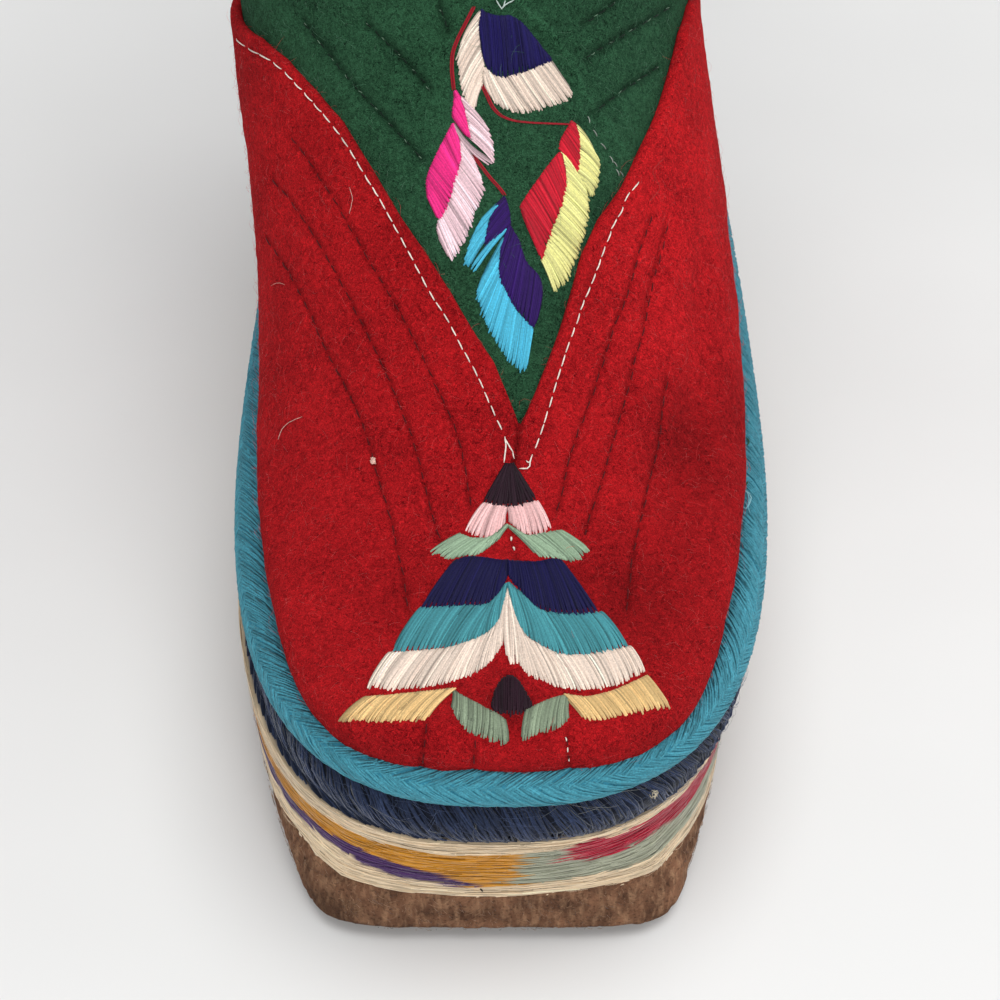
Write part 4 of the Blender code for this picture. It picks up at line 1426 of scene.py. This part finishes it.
# Marks on the hide: middle and reach in millimetres, and the change of shade
Mark = namedtuple("Mark", "middle reach change")
HIDE_STAIN = Mark((-33.0, 1.0, 6.0), (6.0, 9.0, 5.0), -0.5)
HIDE_SCUFF = Mark((34.0, 2.0, 7.0), (3.0, 8.0, 9.0), 0.35)


def hide_meshes():
    """The hide sole: flared, rough-cut side, and an underside raised under the arch."""
    places = crowded(HIDE_COLUMNS, 3.0, 0.2)
    heights = np.concatenate([FOOT_HEIGHTS, np.linspace(2.0, HIDE_HEIGHT, HIDE_ROWS)])
    heights = heights[:, None] * np.interp(places, LINE_PLACES, HIDE_TOP) / HIDE_HEIGHT
    wall, outward = sole_side(heights, places)
    rough = uneven(wall.reshape(-1, 3), 5.0, 4).reshape(heights.shape)
    pits = uneven(wall.reshape(-1, 3) * np.array([1, 1, 0.6]), 1.3, 3).reshape(heights.shape)
    moved = 0.3 * rough - 0.35 * np.clip(pits - 0.1, 0, 1) - 0.15
    low = 1 - heights / heights[-1]
    for place, squared in HIDE_CORNERS:
        moved += squared * low * bell(places - place, HIDE_CORNER_REACH)
    wall = wall + outward * moved[..., None]
    wall[:len(FOOT_DRAWN)] -= outward[:len(FOOT_DRAWN)] * FOOT_DRAWN[:, None, None]
    shades = np.ones(heights.shape)
    # Painted shade, darker towards the floor
    shades[:6] *= np.linspace(0.7, 1.0, 6)[:, None]
    for mark in (HIDE_STAIN, HIDE_SCUFF):
        away = np.linalg.norm((wall - np.array(mark.middle)) / np.array(mark.reach), axis=-1)
        shades *= 1 + mark.change * bell(away, 1.0)
    share = ramp(wall[0, :, 1], ARCH_FRONT, ARCH_REAR)
    wall[0, :, 2] = toe_lift(wall[0, :, 1]) + ARCH_LIFT * np.sin(math.pi * share) ** 2
    top, _ = sole_side(heights[-1], places, -3.0)
    top[:, 2] = wall[-1, :, 2]
    grid = np.concatenate([wall, top[None]])
    # Painted shade on the hide's top, under the yarn
    shades = np.concatenate([shades, np.full((1, HIDE_COLUMNS), 0.8)])
    under, faces = ladder(wall[0], 30, True)
    under[:, 2] += 0.12 * np.abs(uneven(under, 6.0, 3))
    # Painted shade on the underside
    return joined([sheet(grid, shades), (under, faces, np.full(3, 0.7))])


def hide_fibres():
    """Short pale fibres of the raw hide's cut side."""
    count, sides, half_width = 1700, 3, 0.035
    taper = np.array([0.3, 1, 1, 0.2])
    foot = 0.8
    place = chance_places(count, front_share=0.75, gather=0.45)
    share = np.linspace(0, 1, len(taper))[None]
    size = CHANCE.uniform(0.5, 1.5, (count, 1))
    tall = np.interp(place, LINE_PLACES, HIDE_TOP) - 1.0
    height = foot + (tall - foot) * CHANCE.random((count, 1)) + size * (share - 0.5)
    lean = CHANCE.normal(0, 0.9, (count, 1)) * size * (share - 0.5) / GIRTH
    paths, normals = sole_side(height, place + lean, 0.05 + 0.22 * np.sin(2.6 * share))
    paths[:, :, 2] = np.maximum(paths[:, :, 2], 0.15)
    points, quads = tubes(paths, normals, half_width, half_width, sides, taper)
    tints = np.where(CHANCE.random((count, 1)) < 0.65, PALE_HIDE_FIBRE, DARK_HIDE_FIBRE)
    tints = tints * CHANCE.uniform(0.7, 1.15, (count, 1))
    return points, quads, strand_tints(tints, len(taper) * sides)


def insole_meshes():
    """A felt footbed with a softly uneven top."""
    places = crowded(360, 0.0, 0.2)
    ring, _ = felt(0.0, places, -UPPER_WALL - GAP - 0.3)
    ring[:, 2] = SOLE_TOP + GAP + INSOLE_THICKNESS + toe_lift(ring[:, 1])
    top, faces = ladder(ring, 40, False)
    top[:, 2] += 0.25 * uneven(top, 12.0)
    foot = ring.copy()
    foot[:, 2] -= INSOLE_THICKNESS - 0.1
    rim = np.concatenate([foot, ring])
    # Painted shade on the footbed's rim
    return joined([(top, faces, np.ones(3)), (rim, sheet_quads(2, len(ring)), np.ones(3) * 0.9)])


# Putting the boot together

# The front of the boot, where the felt's fibres are thick: how far back, and heights, in millimetres
FRONT_END = 150.0
RED_FROM, GREEN_FROM, GREEN_TO = 40.0, 70.0, 150.0
# The toe embroidery on the photo, with few fibres: the column of its point, its rows and its spread
MOTIF_COLUMN, MOTIF_TOP, MOTIF_FOOT, MOTIF_SPREAD = 508, 450, 750, 0.62


def red_fuzz_weight(points):
    across, down = on_photo(points).T
    sewn = (np.abs(across - MOTIF_COLUMN) < (down - MOTIF_TOP) * MOTIF_SPREAD) & (down < MOTIF_FOOT)
    return (0.15 + (points[:, 1] < FRONT_END) * (points[:, 2] > RED_FROM)) * np.where(sewn, 0.15, 1.0)


def green_fuzz_weight(points):
    back, height = points[:, 1], points[:, 2]
    return 0.12 + (back < FRONT_END) * (height > GREEN_FROM) * (height < GREEN_TO) * 2.0


def add_felts(vamp, upper):
    add_piece("vamp_felt", vamp, RED_FELT, ("vamp",))
    add_piece("upper_felt", upper, GREEN_FELT, ("upper",))
    red_fibres = fuzz(
        vamp, red_fuzz_weight, count=3600, length=1.8, half_width=0.019, colour=RED_FIBRE, stand_most=0.35
    )
    add_piece("red_fibres", red_fibres, FUZZ, ())
    green_fibres = fuzz(
        upper, green_fuzz_weight, count=3200, length=2.0, half_width=0.02, colour=GREEN_FIBRE, stand_most=0.35
    )
    add_piece("green_fibres", green_fibres, FUZZ, ())


def add_embroidery(red_skin, green_skin):
    add_piece("toe_embroidery", joined([fan_strands(red_skin, fan) for fan in TOE_FANS]), SILK)
    leaves = [fan_strands(green_skin, fan) for fan in GREEN_FANS]
    for line in GREEN_STEMS:
        for shift, shade in STEM_STRANDS:
            moved = [(x + shift, y + abs(shift) * 0.4) for x, y in line]
            leaves.append(loose_thread(green_skin, moved, 0.15, THREADS["stem"] * shade, 0.08))
    for line in TOP_THREADS:
        leaves.append(loose_thread(green_skin, line, 0.14, TOP_THREAD, 0.15))
    add_piece("instep_embroidery", joined(leaves), SILK)


def felt_sewing(red_skin, green_skin):
    """The stitches of both felts."""
    sewn = [run_stitches(red_skin, line, EDGE_STITCH) for line in (LEFT_STITCHES, RIGHT_STITCHES)]
    sewn += [run_stitches(red_skin, line, RED_STITCH) for line in RED_QUILTING]
    sewn.append(run_stitches(red_skin, RED_QUILTING[-1], TOE_STITCH))
    sewn.append(run_stitches(red_skin, MOTIF_LINE, MOTIF_STITCH))
    sewn += [loose_thread(red_skin, line, 0.14, WHITE_SEWING, 0.2) for line in APEX_ENDS]
    for line in GREEN_QUILTING:
        sewn.append(run_stitches(green_skin, line, GREEN_STITCH))
        sewn.append(run_stitches(green_skin, line, GLINT_STITCH))
    sewn.append(run_stitches(green_skin, GREEN_STITCHES, SEAM_STITCH))
    sewn.append(run_stitches(green_skin, GREEN_STITCHES_END, SEAM_END_STITCH))
    return sewn


def loose_threads(skin, lines, lift):
    return [
        loose_thread(skin, line, half_width, linear(*colour), lift) for line, colour, half_width in lines
    ]


def sole_skin(yarn):
    """A surface over the braid and the bed of the yarn."""
    bed_faces = sheet_quads(YARN_BED_ROWS, YARN_COLUMNS)
    parts = [(*braid_tube(BRAID_OUT, BRAID_UP), CREAM), (yarn[0], bed_faces, CREAM)]
    points, quads, _ = joined(parts)
    return Skin(points, quads)


def add_boot():
    vamp, red_skin = build_vamp()
    upper, green_skin = build_upper()
    add_felts(vamp, upper)
    add_embroidery(red_skin, green_skin)
    stitches = felt_sewing(red_skin, green_skin)
    stitches += loose_threads(red_skin, RED_LOOSE, 0.2)
    stitches += tangle(red_skin, BURR, size=4.2, count=18, half_width=0.1, colour=BURR_FIBRE)
    stitches += loose_threads(Skin(*cord_tube(CORD_RADIUS)), CORD_LOOSE, 0.15)
    add_piece("braided_cord", cord_meshes(), COTTON, ("edging_cord",))
    braid, yarn = braid_meshes(), yarn_meshes()
    add_piece("navy_braid", braid, WOOL, ("welt_braid",))
    add_piece("navy_fuzz", braid_fuzz(), FUZZ, ())
    add_piece("wound_yarn", yarn, ROVING, ("midsole",))
    side_skin = sole_skin(yarn)
    stitches += loose_threads(side_skin, SOLE_LOOSE, 0.8)
    for middle in SOLE_TUFTS:
        stitches += tangle(side_skin, middle, size=6.0, count=7, half_width=0.08, colour=TUFT_FIBRE)
    add_piece("stitching", joined(stitches), COTTON)
    add_piece("hide_sole", hide_meshes(), HIDE, ("outsole",))
    add_piece("hide_fibres", hide_fibres(), FUZZ, ())
    add_piece("footbed", insole_meshes(), UNDYED_FELT, ("insole",))


# The studio

def add_floor():
    paint = Paint("pale floor", roughness=0.8)
    shade = paint.noise(9.0, 2.0)
    paint.colour(paint.mixed(shade, linear(228, 227, 225), linear(234, 233, 231)))
    mesh = bpy.data.meshes.new("floor")
    side = 4.0
    mesh.from_pydata(
        [(-side, -side, 0), (side, -side, 0), (side, side, 0), (-side, side, 0)], [], [(0, 1, 2, 3)]
    )
    mesh.materials.append(paint.material)
    floor = bpy.data.objects.new("floor", mesh)
    bpy.context.scene.collection.objects.link(floor)


def add_light(name, place, aim, size, power):
    data = bpy.data.lights.new(name, "AREA")
    data.shape = "DISK"
    data.size = size
    data.energy = power
    light = bpy.data.objects.new(name, data)
    light.location = place
    light.rotation_euler = (Vector(aim) - Vector(place)).to_track_quat("-Z", "Y").to_euler()
    bpy.context.scene.collection.objects.link(light)


def add_studio():
    add_floor()
    add_light("overhead", place=(0.12, -0.15, 1.4), aim=(0.0, -0.05, 0.05), size=1.3, power=13.0)
    add_light("front", place=(0.1, -1.3, 0.85), aim=(0.0, -0.1, 0.05), size=1.2, power=8.5)
    add_light("side", place=(1.2, 0.1, 0.7), aim=(0.0, 0.0, 0.1), size=0.9, power=2.6)
    world = bpy.data.worlds.new("studio")
    world.use_nodes = True
    world.node_tree.nodes["Background"].inputs["Color"].default_value = (0.93, 0.96, 1.0, 1.0)
    world.node_tree.nodes["Background"].inputs["Strength"].default_value = 0.4
    bpy.context.scene.world = world
    bpy.context.scene.view_settings.view_transform = "Standard"


def add_camera():
    data = bpy.data.cameras.new("camera")
    data.sensor_width = 36.0
    data.lens = FOCAL * data.sensor_width / (2 * MIDDLE)
    data.clip_start = 0.01
    camera = bpy.data.objects.new("camera", data)
    camera.location = (EYE - BOX_CENTRE) * MM
    camera.rotation_euler = Vector(VIEW).to_track_quat("-Z", "Y").to_euler()
    bpy.context.scene.collection.objects.link(camera)
    bpy.context.scene.camera = camera


add_boot()
add_studio()
add_camera()
